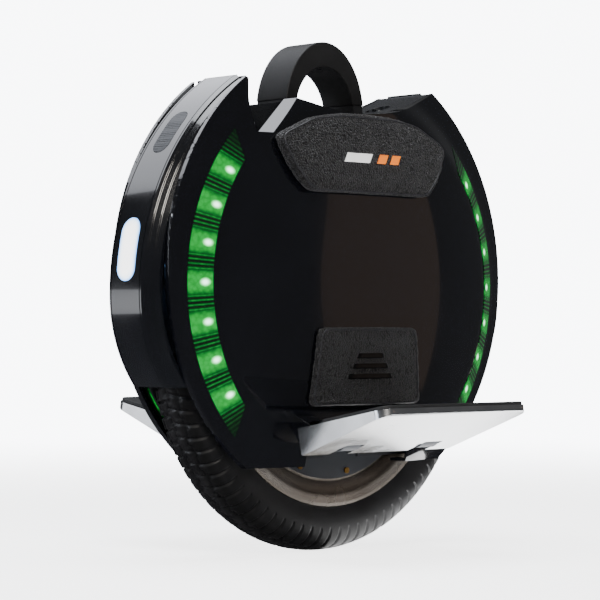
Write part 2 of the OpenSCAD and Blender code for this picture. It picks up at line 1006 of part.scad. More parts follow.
module control_board() {
    board_y = cell_y0 + sink_t + fin_h + 0.1;
    board_t = 1.7;
    color("#1c6e44") mirror_right() {
        translate([board_x, board_y, board_z]) cube([board_w, board_t, board_h]);
        translate([board_x + 8, board_y + board_t, board_z + 8]) cube([14, 6, 28]);
        translate([board_x + 48, board_y + board_t, board_z + 16]) cube([22, 4, 22]);
        for (i = [0:2]) translate([board_x + 14 + 18 * i, board_y + board_t, board_z + 64]) bar_y_at(6, 10);
    }
}

// A can standing on its base, along Y
module bar_y_at(r, h) {
    rotate([-90, 0, 0]) cylinder(r = r, h = h);
}

cable_r = 3.5;
cable_path = [
    [0, -58, 203], [0, -60.5, 203], [5, -63, 206], [14, -63.5, 212], [26, -63, 219],
    [38, -62, 226], [50, -60.5, 232], [60, -58.5, 236], [65, -55, 238], [66, -51.5, 238],
    [66, -48.3, 238]
];

function cable_dir(i) = unit(cable_path[min(i + 1, len(cable_path) - 1)] - cable_path[max(i - 1, 0)]);

module motor_cable() {
    sides = 8;
    n = len(cable_path);
    points = [for (i = [0:n - 1], k = [0:sides - 1]) let (
        d = cable_dir(i), u = unit(cross(d, [0, 0, 1])), w = cross(d, u), a = 360 * k / sides
    ) cable_path[i] + cable_r * (cos(a) * u + sin(a) * w)];
    walls = [for (i = [0:n - 2], k = [0:sides - 1], half = [0, 1]) let (
        j = (k + 1) % sides, a = i * sides + k, b = i * sides + j, c = a + sides, d = b + sides
    ) half == 0 ? [a, b, d] : [a, d, c]];
    ends = [[for (k = [sides - 1:-1:0]) k], [for (k = [0:sides - 1]) (n - 1) * sides + k]];
    color("#202020") polyhedron(points, concat(walls, ends));
}

// ---------- deck fittings ----------

cap_r = 11;
cap_t = 2;
cap_z = floor_z + 2.2;
cap_pin_x = cap_r + 2.5;
cap_pin_r = 1;
cap_knuckle = 5;
ear_w = 2;
ear_reach = 1.8;
plug_r = 6;

module charge_socket() {
    color("#77797e") translate([socket_x, 0, 0]) {
        difference() {
            union() {
                translate([0, 0, floor_z + 0.05]) cylinder(r = 10, h = 2);
                translate([0, 0, floor_z - 13]) cylinder(r = socket_r, h = 14);
                for (y = [cap_knuckle + 0.4, -cap_knuckle - 0.4 - ear_w]) translate([0, y, floor_z + 0.05]) {
                    translate([socket_r, 0, 0]) cube([cap_pin_x + ear_reach - socket_r, ear_w, 2]);
                    translate([cap_r - 0.6, 0, 0]) cube([cap_pin_x + ear_reach + 0.6 - cap_r, ear_w, 4]);
                }
            }
            translate([0, 0, floor_z - 10]) cylinder(r = plug_r, h = 20);
        }
        translate([cap_pin_x, 0, cap_z + cap_t / 2]) bar_y(cap_pin_r, -cap_knuckle - 2, cap_knuckle + 2);
    }
}

module charge_cap() {
    color("#26272a") translate([socket_x, 0, cap_z]) difference() {
        union() {
            cylinder(r = cap_r, h = cap_t);
            translate([cap_r - 4, -cap_knuckle, 0]) cube([6.5, 2 * cap_knuckle, cap_t]);
            translate([cap_pin_x, 0, cap_t / 2]) bar_y(1.9, -cap_knuckle, cap_knuckle);
        }
        translate([cap_pin_x, 0, cap_t / 2]) bar_y(cap_pin_r + run_fit, -cap_knuckle - 1, cap_knuckle + 1);
    }
}

module power_button() {
    color("#b7bbc1") translate([button_x, 0, 0]) {
        translate([0, 0, button_floor + 2]) cylinder(r = button_r, h = 3);
        translate([0, 0, button_floor - 7]) cylinder(r = stem_r, h = 9 + eps);
    }
}

module shell_screws() {
    color("#2a2b2e") for (side = [0, 1]) mirror([0, side, 0]) at_shell_screws() {
        bar_y(3.2, plate_in - 1.2, plate_in - 0.05);
        bar_y(screw_r, plate_in - 0.1, shell_in_y + 11);
    }
}

left_frame_plate();
right_frame_plate();
wheel_arch();
left_side_shell();
right_side_shell();
front_band();
rear_band();
top_deck();
handle_core();
handle_grip();
handle_collars();
handle_bolts();
headlight_lens();
headlight_reflector();
headlight_board();
tail_light_lens();
tail_light_board();
speaker_grille();
speaker();
front_left_strip();
front_right_strip();
rear_left_strip();
rear_right_strip();
strip_boards();
left_upper_pad();
right_upper_pad();
left_lower_pad();
right_lower_pad();
left_hanger();
right_hanger();
hinge_pins();
axle();
axle_nuts();
stator();
stator_windings();
left_battery();
right_battery();
control_board();
heat_sink();
motor_cable();
charge_socket();
charge_cap();
power_button();
lift_button();
shell_screws();
motor_housing();
left_motor_cover();
right_motor_cover();
rotor_magnets();
wheel_bearings();
cover_screws();
tyre();
inner_tube();
valve();
left_pedal();
left_pedal_mat();
right_pedal();
right_pedal_mat();
pedal_magnets_left();
pedal_magnets_right();
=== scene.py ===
# A self-balancing unicycle: one motor wheel in a gloss shell, with a handle, pads, lights and pedals.
import math

import bmesh
import bpy
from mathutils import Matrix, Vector


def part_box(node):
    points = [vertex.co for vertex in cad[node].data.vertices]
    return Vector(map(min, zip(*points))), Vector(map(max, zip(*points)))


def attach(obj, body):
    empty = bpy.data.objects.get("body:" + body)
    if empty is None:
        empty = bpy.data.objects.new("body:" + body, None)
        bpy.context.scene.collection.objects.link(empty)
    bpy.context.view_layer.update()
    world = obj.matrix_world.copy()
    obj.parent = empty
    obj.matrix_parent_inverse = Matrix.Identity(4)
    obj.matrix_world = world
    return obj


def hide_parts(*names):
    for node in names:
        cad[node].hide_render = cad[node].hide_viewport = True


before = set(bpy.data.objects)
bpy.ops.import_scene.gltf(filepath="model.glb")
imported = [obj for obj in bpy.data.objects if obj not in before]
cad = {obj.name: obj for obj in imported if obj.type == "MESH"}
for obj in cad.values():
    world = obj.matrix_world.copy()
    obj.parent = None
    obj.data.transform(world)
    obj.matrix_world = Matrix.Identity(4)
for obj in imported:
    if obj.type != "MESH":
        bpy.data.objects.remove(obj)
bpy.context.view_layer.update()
bpy.ops.object.select_all(action="DESELECT")


# ---------- camera, floor and lights ----------
# A long lens at pedal height, ahead of the machine on its left, with a pale studio floor.
# Big soft boxes above and in front draw the broad pale streaks on the gloss plastic.
def linear(hex_colour):
    channels = [int(hex_colour[i:i + 2], 16) / 255 for i in (1, 3, 5)]
    return [c / 12.92 if c <= 0.04045 else ((c + 0.055) / 1.055) ** 2.4 for c in channels] + [1.0]


def wire(finish, node, inputs):
    for name, value in inputs.items():
        if isinstance(value, bpy.types.NodeSocket):
            finish.node_tree.links.new(value, node.inputs[name])
        else:
            node.inputs[name].default_value = value


def add(finish, kind, inputs, **settings):
    node = finish.node_tree.nodes.new(kind)
    for name, value in settings.items():
        setattr(node, name, value)
    wire(finish, node, inputs)
    return node


def new_finish(name, sockets):
    finish = bpy.data.materials.new(name)
    finish.use_nodes = True
    shader = finish.node_tree.nodes["Principled BSDF"]
    wire(finish, shader, sockets)
    return finish, shader, add(finish, "ShaderNodeTexCoord", {}).outputs["Object"]


CAMERA_AT = (1.6116, 1.6689, 0.2187)
camera = bpy.data.objects.new("camera", bpy.data.cameras.new("camera"))
bpy.context.scene.collection.objects.link(camera)
camera.location = CAMERA_AT
camera.rotation_euler = (math.radians(90), 0, math.radians(136))
camera.data.lens = 139.2
camera.data.sensor_width = 36
camera.data.shift_x = -0.0267
camera.data.shift_y = 0.0515
bpy.context.scene.camera = camera


def soft_box(name, place, target, size, power, colour):
    lamp = bpy.data.lights.new(name, "AREA")
    lamp.shape = "RECTANGLE"
    lamp.size, lamp.size_y = size
    lamp.energy = power
    lamp.color = linear(colour)[:3]
    holder = bpy.data.objects.new(name, lamp)
    bpy.context.scene.collection.objects.link(holder)
    holder.location = place
    holder.rotation_euler = (Vector(target) - Vector(place)).to_track_quat("-Z", "Y").to_euler()


soft_box("top_box", (0.1, 0.0, 2.4), (0, 0, 0.3), (2.0, 1.2), 70, "#f6f9ff")
soft_box("front_box", (2.3, -0.5, 0.9), (0, 0, 0.3), (0.7, 1.3), 24, "#eef4ff")
soft_box("key_box", (1.5, 2.3, 1.9), (0, 0, 0.25), (0.9, 0.9), 55, "#fff9f0")
soft_box("far_box", (0.15, -1.5, 1.75), (0, 0, 0.35), (1.9, 1.0), 15, "#f4f7ff")
soft_box("low_card", (1.15, -1.05, 0.16), (0, 0.1, 0.13), (1.1, 0.3), 2.2, "#f6f9ff")
soft_box("warm_card", (-1.9, 1.75, 0.55), (0, 0, 0.3), (0.75, 1.5), 0.5, "#ffd2b2")

sky = bpy.data.worlds.new("studio")
sky.use_nodes = True
sky_rays = add(sky, "ShaderNodeLightPath", {})
sky_power = add(sky, "ShaderNodeMapRange", {
    "Value": sky_rays.outputs["Is Camera Ray"], "To Min": 0.08, "To Max": 9.5})
wire(sky, sky.node_tree.nodes["Background"], {
    "Color": linear("#f4f6fa"), "Strength": sky_power.outputs[0]})
bpy.context.scene.world = sky

# Matt laminate, sprayed: near white with a slow mottle of one shade, faded out at its far edge
FLOOR_R = 2.6
UNDER_R = 0.17
UNDER_AT = (-0.17, 0.0)
laminate, laminate_shader, floor_at = new_finish("sprayed_laminate", {
    "Roughness": 0.7, "Emission Color": linear("#ffffff"), "Emission Strength": 3.2})
floor_mottle = add(laminate, "ShaderNodeTexNoise", {"Vector": floor_at, "Scale": 3.0})
floor_shade = add(laminate, "ShaderNodeMix", {
    0: floor_mottle.outputs["Fac"], 6: linear("#f4f5f6"), 7: linear("#f9fafa")}, data_type="RGBA")
floor_away = add(laminate, "ShaderNodeVectorMath", {0: floor_at}, operation="LENGTH")
floor_fade = add(laminate, "ShaderNodeMapRange", {
    "Value": floor_away.outputs["Value"], "From Min": 0.6, "From Max": FLOOR_R, "To Min": 1.0, "To Max": 0.0},
    interpolation_type="SMOOTHSTEP")
wire(laminate, laminate_shader, {"Base Color": floor_shade.outputs[2], "Alpha": floor_fade.outputs[0]})


def floor_ring(name, inner, outer):
    bpy.ops.mesh.primitive_circle_add(vertices=96, radius=inner or outer, fill_type="NGON",
                                      location=(*UNDER_AT, 0))
    bpy.ops.object.transform_apply(location=True)
    ring = bpy.context.object
    ring.name = name
    if inner:
        bpy.ops.object.mode_set(mode="EDIT")
        bpy.ops.mesh.select_all(action="SELECT")
        bpy.ops.mesh.delete(type="ONLY_FACE")
        bpy.ops.mesh.select_all(action="SELECT")
        bpy.ops.mesh.extrude_region_move()
        bpy.ops.transform.resize(value=(outer / inner, outer / inner, 1), center_override=(*UNDER_AT, 0))
        bpy.ops.object.mode_set(mode="OBJECT")
    ring.data.materials.append(laminate)
    return ring


floor_ring("floor_under_wheel", 0, UNDER_R)
floor_ring("floor_around", UNDER_R, FLOOR_R).visible_glossy = False
bpy.ops.object.select_all(action="DESELECT")


# ---------- frame plates and wheel arch ----------
# Two plates and an arch moulded in glass-filled nylon, hidden between the shells.
# Moulded nylon is matt dark grey with a fine sparkle of fibre in its grain.
def coat(finish, *names):
    for name in names:
        piece = bpy.data.objects[name]
        if not piece.material_slots:
            piece.data.materials.append(finish)
        for slot in piece.material_slots:
            slot.material = finish


def grained(name, dark, light, grain_mm, depth_mm, rough, sockets):
    """A finish with a slow drift between two shades and a fine grain in its height and gloss."""
    finish, shader, place = new_finish(name, sockets)
    drift = add(finish, "ShaderNodeTexNoise", {"Vector": place, "Scale": 28.0, "Detail": 3.0})
    grain = add(finish, "ShaderNodeTexNoise", {"Vector": place, "Scale": 1000 / grain_mm, "Detail": 2.0})
    both = add(finish, "ShaderNodeMath", {0: drift.outputs["Fac"], 1: grain.outputs["Fac"]},
               operation="MULTIPLY")
    shade = add(finish, "ShaderNodeMapRange", {
        "Value": both.outputs[0], "From Min": 0.12, "From Max": 0.42})
    colour = add(finish, "ShaderNodeMix", {
        0: shade.outputs[0], 6: linear(dark), 7: linear(light)}, data_type="RGBA")
    gloss = add(finish, "ShaderNodeMapRange", {
        "Value": grain.outputs["Fac"], "From Min": 0.3, "From Max": 0.7,
        "To Min": rough[0], "To Max": rough[1]})
    bump = add(finish, "ShaderNodeBump", {
        "Height": grain.outputs["Fac"], "Strength": 0.6, "Distance": depth_mm / 1000})
    wire(finish, shader, {"Base Color": colour.outputs[2], "Roughness": gloss.outputs[0],
                          "Normal": bump.outputs["Normal"]})
    return finish


nylon = grained("moulded_nylon", "#0e0f11", "#191a1d", 1.2, 0.15, (0.5, 0.68), {"IOR": 1.53})
coat(nylon, "left_frame_plate", "right_frame_plate", "wheel_arch", "speaker")


# ---------- axle, bearings and stator ----------
# Turned and ground steel with a faint round tool mark, and laminated iron with wound copper.
# They sit inside the hub, and only the axle ends and nuts are ever seen.
steel = grained("ground_steel", "#8d9094", "#b3b6ba", 0.8, 0.04, (0.22, 0.36), {"Metallic": 1.0})
coat(steel, "axle", "axle_nuts", "wheel_bearings", "handle_bolts", "hinge_pins")
iron = grained("laminated_iron", "#3c3e42", "#54565a", 1.0, 0.1, (0.4, 0.55), {"Metallic": 0.9})
coat(iron, "stator")
copper = grained("wound_copper_wire", "#8a4521", "#c46a35", 1.4, 0.3, (0.25, 0.42), {"Metallic": 1.0})
coat(copper, "stator_windings")
nickel = grained("plated_magnet", "#9b9da1", "#c3c5c8", 0.6, 0.03, (0.15, 0.26), {"Metallic": 1.0})
coat(nickel, "rotor_magnets", "pedal_magnets_left", "pedal_magnets_right")


# ---------- motor housing, covers and cover screws ----------
# The rim is cast aluminium, turned and clear coated: a satin bronze ring with fine round tool lines and painted
# highlight rings.
# The covers are painted black in a fine satin texture, held by small brass-plated screws.
AXLE_Z = (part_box("tyre")[0][2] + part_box("tyre")[1][2]) / 2


def round_the_axle(finish, place):
    """Distance from the axle, for marks left by turning."""
    centred = add(finish, "ShaderNodeMapping", {"Vector": place, "Location": (0, 0, -AXLE_Z),
                                                "Scale": (1, 0, 1)})
    return add(finish, "ShaderNodeVectorMath", {0: centred.outputs[0]}, operation="LENGTH").outputs["Value"]


TOOL_STEP = 0.0009
RIM_IN = 0.1305
RIM_OUT = 0.1500
# Painted highlights and painted dark reflections: bright rings at the rim's inner and outer edges and darker
# rings between, multiplied into its colour by radius.
RIM_PAINTED_HIGHLIGHTS = ((0.0, "#ffffff"), (0.1, "#e8e4de"), (0.16, "#5a5651"),
             (0.55, "#8f8982"), (0.8, "#6a655f"), (1.0, "#f2eee8"))
rim, rim_shader, rim_at = new_finish("turned_cast_aluminium", {
    "Metallic": 0.85, "Coat Weight": 0.4, "Coat Roughness": 0.2})
rim_radius = round_the_axle(rim, rim_at)
rim_rings = add(rim, "ShaderNodeMath", {0: rim_radius, 1: 6.2832 / TOOL_STEP}, operation="MULTIPLY")
rim_wave = add(rim, "ShaderNodeMath", {0: rim_rings.outputs[0]}, operation="SINE")
rim_cloud = add(rim, "ShaderNodeTexNoise", {"Vector": rim_at, "Scale": 18.0, "Detail": 2.0})
rim_colour = add(rim, "ShaderNodeMix", {
    0: rim_cloud.outputs["Fac"], 6: linear("#8a837b"), 7: linear("#c4bcb2")}, data_type="RGBA")
rim_painted_highlight = add(rim, "ShaderNodeValToRGB", {0: add(rim, "ShaderNodeMapRange", {
    "Value": rim_radius, "From Min": RIM_IN, "From Max": RIM_OUT}).outputs[0]})
for place, shade in RIM_PAINTED_HIGHLIGHTS:
    stop = rim_painted_highlight.color_ramp.elements.new(place) if place not in (0.0, 1.0) else \
        rim_painted_highlight.color_ramp.elements[int(place)]
    stop.color = linear(shade)
rim_tone_with_painted_highlight = add(rim, "ShaderNodeMix", {
    0: 1.0, 6: rim_colour.outputs[2], 7: rim_painted_highlight.outputs["Color"]}, data_type="RGBA", blend_type="MULTIPLY")
rim_gloss = add(rim, "ShaderNodeMapRange", {
    "Value": rim_cloud.outputs["Fac"], "To Min": 0.2, "To Max": 0.34})
rim_bump = add(rim, "ShaderNodeBump", {
    "Height": rim_wave.outputs[0], "Strength": 0.12, "Distance": 0.0001})
wire(rim, rim_shader, {"Base Color": rim_tone_with_painted_highlight.outputs[2], "Roughness": rim_gloss.outputs[0],
                       "Normal": rim_bump.outputs["Normal"]})
coat(rim, "motor_housing")
cover_paint = grained("textured_black_paint", "#101216", "#1b1e24", 1.0, 0.08, (0.32, 0.46),
                      {"Metallic": 0.1, "Coat Weight": 0.3, "Coat Roughness": 0.3})
coat(cover_paint, "left_motor_cover", "right_motor_cover")
brass = grained("plated_brass", "#a97f3c", "#d0a75e", 0.7, 0.03, (0.24, 0.38), {"Metallic": 1.0})
coat(brass, "cover_screws", "valve")


# ---------- tyre and tube ----------
# A moulded road tyre: three wavy grooves run round its crown, and short slanted cuts cross the shoulders.
# Black tyre rubber is matt with a faint brown-grey bloom, and painted shade darkens it below the crown's top,
# in the grooves, cuts and shoulders.
tyre_low, tyre_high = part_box("tyre")
TYRE_R = (tyre_high[0] - tyre_low[0]) / 2
TYRE_HALF = (tyre_high[1] - tyre_low[1]) / 2
AROUND = 1440
ACROSS = 60
BEAD_R = TYRE_R - 0.0535
MID_R = TYRE_R - 0.026
GROOVE = 0.0034
GROOVE_HALF = 0.0016
GROOVE_LINES = ((0.0, 0.0020), (0.0125, 0.0016), (-0.0125, -0.0016))
SHOULDER_Y = 0.0125
SLANT = 18
SHOULDER_CUT = 0.0030
SIPE = 0.0024
WAVES = 44
CUTS = 88


def tyre_section(t):
    """Point (radius, y) of the outer section, for t from -1 at one bead to 1 at the other."""
    side = abs(t)
    if side > 0.62:
        down = (side - 0.62) / 0.38
        radius = MID_R - down * (MID_R - BEAD_R)
        half = TYRE_HALF - 0.0075 * down ** 1.8
    else:
        turn = math.pi / 2 * (1 - side / 0.62)
        radius = MID_R + (TYRE_R - MID_R) * math.sin(turn)
        half = TYRE_HALF * (1 - math.sin(turn) ** 2.6) ** 0.5
    return radius, math.copysign(half, t)


def cut_depth(t, angle, half):
    """How far the mould's ribs cut into the tread at this place."""
    depth = 0.0
    for line, sway in GROOVE_LINES:
        zigzag = 2 / math.pi * math.asin(math.sin(WAVES * angle))
        off = abs(half - line - sway * zigzag)
        depth = max(depth, GROOVE * max(0.0, 1 - (off / GROOVE_HALF) ** 4))
    across = abs(half)
    phase = (angle * CUTS / (2 * math.pi) + SLANT * across + (0.5 if half > 0 else 0)) % 1.0
    wide = abs(phase - 0.5) * 2 * math.pi * TYRE_R / CUTS
    if across > SHOULDER_Y and abs(t) < 0.56:
        depth = max(depth, SHOULDER_CUT * max(0.0, 1 - (wide / 0.0019) ** 4))
    if 0.002 < across < SHOULDER_Y:
        depth = max(depth, SIPE * max(0.0, 1 - (wide / 0.0014) ** 4))
    return depth


bpy.ops.mesh.primitive_grid_add(x_subdivisions=AROUND, y_subdivisions=ACROSS, size=2, location=(0, 0, 0))
tyre = bpy.context.object
tyre.name = "tyre_with_tread"
for point in tyre.data.vertices:
    angle = math.pi * (point.co.x + 1)
    t = point.co.y
    radius, half = tyre_section(t)
    radius -= cut_depth(t, angle, half)
    point.co = (radius * math.cos(angle), half, AXLE_Z + radius * math.sin(angle))
bpy.ops.object.mode_set(mode="EDIT")
bpy.ops.mesh.select_all(action="SELECT")
bpy.ops.mesh.remove_doubles(threshold=0.00001)
bpy.ops.mesh.normals_make_consistent(inside=False)
bpy.ops.object.mode_set(mode="OBJECT")
tyre_wall = tyre.modifiers.new("wall", "SOLIDIFY")
tyre_wall.thickness = 0.004
tyre_wall.offset = -1
bpy.ops.object.modifier_apply(modifier="wall")
bpy.ops.object.shade_smooth()
rubber, rubber_shader, rubber_at = new_finish("moulded_tyre_rubber", {"IOR": 1.52, "Specular IOR Level": 0.4})
rubber_bloom = add(rubber, "ShaderNodeTexNoise", {"Vector": rubber_at, "Scale": 45.0, "Detail": 5.0})
rubber_grain = add(rubber, "ShaderNodeTexNoise", {"Vector": rubber_at, "Scale": 900.0, "Detail": 2.0})
rubber_colour = add(rubber, "ShaderNodeMix", {
    0: rubber_bloom.outputs["Fac"], 6: linear("#040405"), 7: linear("#0e0d0f")}, data_type="RGBA")
rubber_gloss = add(rubber, "ShaderNodeMapRange", {
    "Value": rubber_bloom.outputs["Fac"], "From Min": 0.3, "From Max": 0.7, "To Min": 0.38, "To Max": 0.6})
rubber_deep = round_the_axle(rubber, rubber_at)
# Painted shade: the colour falls towards near black below the crown's top, in the grooves, cuts and shoulders,
# and comes back on the sidewalls.
rubber_crown = add(rubber, "ShaderNodeMapRange", {
    "Value": rubber_deep, "From Min": TYRE_R - 0.005, "From Max": TYRE_R - 0.0012,
    "To Min": 0.25, "To Max": 1.0})
rubber_side = add(rubber, "ShaderNodeMapRange", {
    "Value": rubber_deep, "From Min": TYRE_R - 0.012, "From Max": TYRE_R - 0.007, "To Min": 1.0, "To Max": 0.0})
rubber_out_of_painted_shade = add(rubber, "ShaderNodeMath", {0: rubber_crown.outputs[0], 1: rubber_side.outputs[0]},
                  operation="MAXIMUM")
rubber_with_painted_groove_shade = add(rubber, "ShaderNodeMix", {
    0: rubber_out_of_painted_shade.outputs[0], 6: linear("#030303"), 7: rubber_colour.outputs[2]}, data_type="RGBA")
rubber_bump = add(rubber, "ShaderNodeBump", {
    "Height": rubber_grain.outputs["Fac"], "Strength": 0.5, "Distance": 0.0002})
wire(rubber, rubber_shader, {"Base Color": rubber_with_painted_groove_shade.outputs[2], "Roughness": rubber_gloss.outputs[0],
                             "Normal": rubber_bump.outputs["Normal"]})
tyre.data.materials.append(rubber)
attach(tyre, "wheel")
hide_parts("tyre")
bpy.ops.object.select_all(action="DESELECT")
butyl = grained("butyl_rubber", "#161617", "#232324", 1.5, 0.1, (0.5, 0.65), {})
coat(butyl, "inner_tube", "motor_cable")


# ---------- batteries, boards and heat sink ----------
# Cells in blue shrink wrap, green solder-masked boards, and an extruded finned heat sink.
# They are all under the shells, so their finishes are kept plain but real.
wrap = grained("shrink_wrap", "#1d3d7c", "#2f57a4", 3.0, 0.2, (0.28, 0.4), {"IOR": 1.5})
coat(wrap, "left_battery", "right_battery")
mask = grained("solder_mask", "#0f4a28", "#1d6a3c", 0.9, 0.05, (0.3, 0.45), {"IOR": 1.55})
coat(mask, "control_board", "strip_boards", "headlight_board", "tail_light_board")
fins = grained("extruded_aluminium", "#9da1a6", "#bfc3c7", 0.7, 0.05, (0.3, 0.42), {"Metallic": 1.0})
coat(fins, "heat_sink")


# ---------- side shells ----------
# Two shells injection moulded in black ABS and lacquered: near black, mirror-like, slightly blue.
# Lacquer over a moulding shows a faint orange peel and fine turned rings beside each light strip.
PANEL_Z = 0.264
PANEL_R = 0.187
RING_X = 0.158
RING_STEP = 0.0011
RING_SPREAD = 0.013


def eased(node, name, body, width, steps=3, shape=None):
    """A copy of a moulded part with its edges eased, as a mould or a file leaves them."""
    piece = cad[node].copy()
    piece.data = cad[node].data.copy()
    for key in list(piece.keys()):
        del piece[key]
    piece.parent = None
    piece.name = name
    bpy.context.scene.collection.objects.link(piece)
    bpy.context.view_layer.objects.active = piece
    piece.select_set(True)
    bpy.ops.object.mode_set(mode="EDIT")
    bpy.ops.mesh.select_all(action="SELECT")
    bpy.ops.mesh.remove_doubles(threshold=0.00002)
    bpy.ops.mesh.dissolve_limited(angle_limit=math.radians(0.6))
    bpy.ops.object.mode_set(mode="OBJECT")
    if shape:
        shape(piece)
    ease = piece.modifiers.new("ease", "BEVEL")
    ease.width = width
    ease.segments = steps
    ease.limit_method = "ANGLE"
    ease.angle_limit = math.radians(35)
    ease.use_clamp_overlap = True
    ease.miter_outer = "MITER_ARC"
    bpy.ops.object.modifier_apply(modifier="ease")
    bpy.ops.object.shade_smooth_by_angle(angle=math.radians(40))
    flats = piece.modifiers.new("flats", "WEIGHTED_NORMAL")
    flats.keep_sharp = True
    flats.weight = 100
    bpy.ops.object.modifier_apply(modifier="flats")
    piece.select_set(False)
    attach(piece, body)
    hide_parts(node)
    return piece


SKIN_TURN = ((0.187, 0.058), (0.210, 0.045), (0.232, 0.0403), (0.292, 0.0283))
SHELL_R = 0.228
SHELL_Z = 0.2736
EDGE_TURN = 0.0012
ON_SKIN = 0.00012
SKIN_SLACK = 0.0002
BROAD = 0.000004
SKIN_STEP = 0.005
SKIN_FLOW = 0.0055


def drawn_skin(r):
    """Height of the shell's outer face above the middle plane, at radius r, as first drawn."""
    if r <= PANEL_R:
        return 0.072 - 0.014 * (r / PANEL_R) ** 3
    for (r0, y0), (r1, y1) in zip(SKIN_TURN, SKIN_TURN[1:]):
        if r <= r1:
            return y0 + (y1 - y0) * (r - r0) / (r1 - r0)
    return SKIN_TURN[-1][1]


def smooth_skin(r):
    """The same face with its corners flowed out, as paint and polish leave it."""
    if r < PANEL_R - SKIN_FLOW:
        return drawn_skin(r)
    return sum(drawn_skin(r + step * SKIN_FLOW / 5) for step in range(-5, 6)) / 11


def fair(piece):
    """Cuts a shell into an even net and lays its outer face on one smooth curve."""
    net = bmesh.new()
    net.from_mesh(piece.data)
    low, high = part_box("left_side_shell")
    for axis, start, stop in ((0, low[0], high[0]), (2, low[2], high[2])):
        way = Vector([1.0 if k == axis else 0.0 for k in range(3)])
        for step in range(1, int((stop - start) / SKIN_STEP)):
            bmesh.ops.bisect_plane(net, geom=net.verts[:] + net.edges[:] + net.faces[:], dist=0.00001,
                                   plane_co=way * (start + step * SKIN_STEP), plane_no=way)
    bmesh.ops.remove_doubles(net, verts=net.verts[:], dist=0.0001)
    bmesh.ops.dissolve_degenerate(net, edges=net.edges[:], dist=0.0001)
    for point in net.verts:
        r = math.hypot(point.co.x, point.co.z - PANEL_Z)
        under = drawn_skin(r) - abs(point.co.y)
        if under < ON_SKIN:
            point.co.y = math.copysign(smooth_skin(r), point.co.y)
        elif under < EDGE_TURN:
            point.co.y += math.copysign(smooth_skin(r) - drawn_skin(r), point.co.y)
    net.to_mesh(piece.data)
    net.free()
    shape = piece.data
    facing = [Vector(corner.vector) for corner in shape.corner_normals]
    for face in shape.polygons:
        for corner in face.loop_indices:
            if face.area > BROAD:
                facing[corner] = face.normal.copy()
            place = shape.vertices[shape.loops[corner].vertex_index].co
            r = math.hypot(place.x, place.z - PANEL_Z)
            deep = (smooth_skin(r) - abs(place.y)) / EDGE_TURN
            rim = Vector((place.x, 0, place.z - SHELL_Z))
            on_rim = rim.length > SHELL_R - EDGE_TURN
            if deep > 1 or (not on_rim and abs(deep) * EDGE_TURN > SKIN_SLACK):
                continue
            fall = (smooth_skin(r - SKIN_STEP / 5) - smooth_skin(r + SKIN_STEP / 5)) / (SKIN_STEP / 2.5)
            curve = Vector((fall * place.x / r, math.copysign(1.0, place.y), fall * (place.z - PANEL_Z) / r))
            curve.normalize()
            if on_rim and deep > 0.1:
                curve = curve.lerp(rim.normalized(), deep).normalized()
            if curve.dot(face.normal) > 0.6:
                facing[corner] = curve
    shape.normals_split_custom_set(facing)


lacquer, lacquer_shader, lacquer_at = new_finish("lacquered_black_abs", {
    "IOR": 1.5, "Coat Weight": 1.0, "Coat Roughness": 0.03, "Coat IOR": 1.55})
peel = add(lacquer, "ShaderNodeTexNoise", {"Vector": lacquer_at, "Scale": 240.0, "Detail": 1.0})
smear = add(lacquer, "ShaderNodeTexNoise", {"Vector": lacquer_at, "Scale": 14.0, "Detail": 4.0})
folded = add(lacquer, "ShaderNodeVectorMath", {0: lacquer_at}, operation="ABSOLUTE")
ring_at = add(lacquer, "ShaderNodeMapping", {
    "Vector": folded.outputs[0], "Location": (-RING_X, 0, -PANEL_Z), "Scale": (1, 0, 1)})
ring_r = add(lacquer, "ShaderNodeVectorMath", {0: ring_at.outputs[0]}, operation="LENGTH")
ring_turn = add(lacquer, "ShaderNodeMath", {0: ring_r.outputs["Value"], 1: 6.2832 / RING_STEP},
                operation="MULTIPLY")
ring_wave = add(lacquer, "ShaderNodeMath", {0: ring_turn.outputs[0]}, operation="SINE")
ring_fade = add(lacquer, "ShaderNodeMapRange", {
    "Value": ring_r.outputs["Value"], "From Min": 0.0, "From Max": RING_SPREAD, "To Min": 1.0, "To Max": 0.0},
    interpolation_type="SMOOTHSTEP")
ring_height = add(lacquer, "ShaderNodeMath", {0: ring_wave.outputs[0], 1: ring_fade.outputs[0]},
                  operation="MULTIPLY")
surface_height = add(lacquer, "ShaderNodeMath", {
    0: peel.outputs["Fac"], 1: 0.03, 2: ring_height.outputs[0]}, operation="MULTIPLY_ADD")
lacquer_bump = add(lacquer, "ShaderNodeBump", {
    "Height": surface_height.outputs[0], "Strength": 0.06, "Distance": 0.0004})
lacquer_colour = add(lacquer, "ShaderNodeMix", {
    0: smear.outputs["Fac"], 6: linear("#020204"), 7: linear("#07080c")}, data_type="RGBA")
lacquer_gloss = add(lacquer, "ShaderNodeMapRange", {
    "Value": smear.outputs["Fac"], "From Min": 0.35, "From Max": 0.7, "To Min": 0.06, "To Max": 0.14})
wire(lacquer, lacquer_shader, {
    "Base Color": lacquer_colour.outputs[2], "Roughness": lacquer_gloss.outputs[0],
    "Normal": lacquer_bump.outputs["Normal"]})
for side in ("left", "right"):
    shell = eased(side + "_side_shell", side + "_lacquered_shell", "chassis", 0.0009)
    fair(shell)
    coat(lacquer, shell.name)
oxide = grained("black_oxide_steel", "#17181a", "#26282b", 0.8, 0.05, (0.35, 0.5), {"Metallic": 0.8})
coat(oxide, "shell_screws")


# ---------- front and rear bands ----------
# Gloss black mouldings that wrap the middle of the machine, with three thin grooves beside the lamp.
# Their lacquer is the shells' own, a shade greyer because it carries more dust.
GROOVES = ((0.0200, 0.0212), (0.0252, 0.0264), (0.0298, 0.0310))
GROOVE_DEEP = 0.0009
BAND_R = 0.246
BAND_LOW_R = 0.141
BAND_Z = 0.253
BAND_FLAT = 0.023


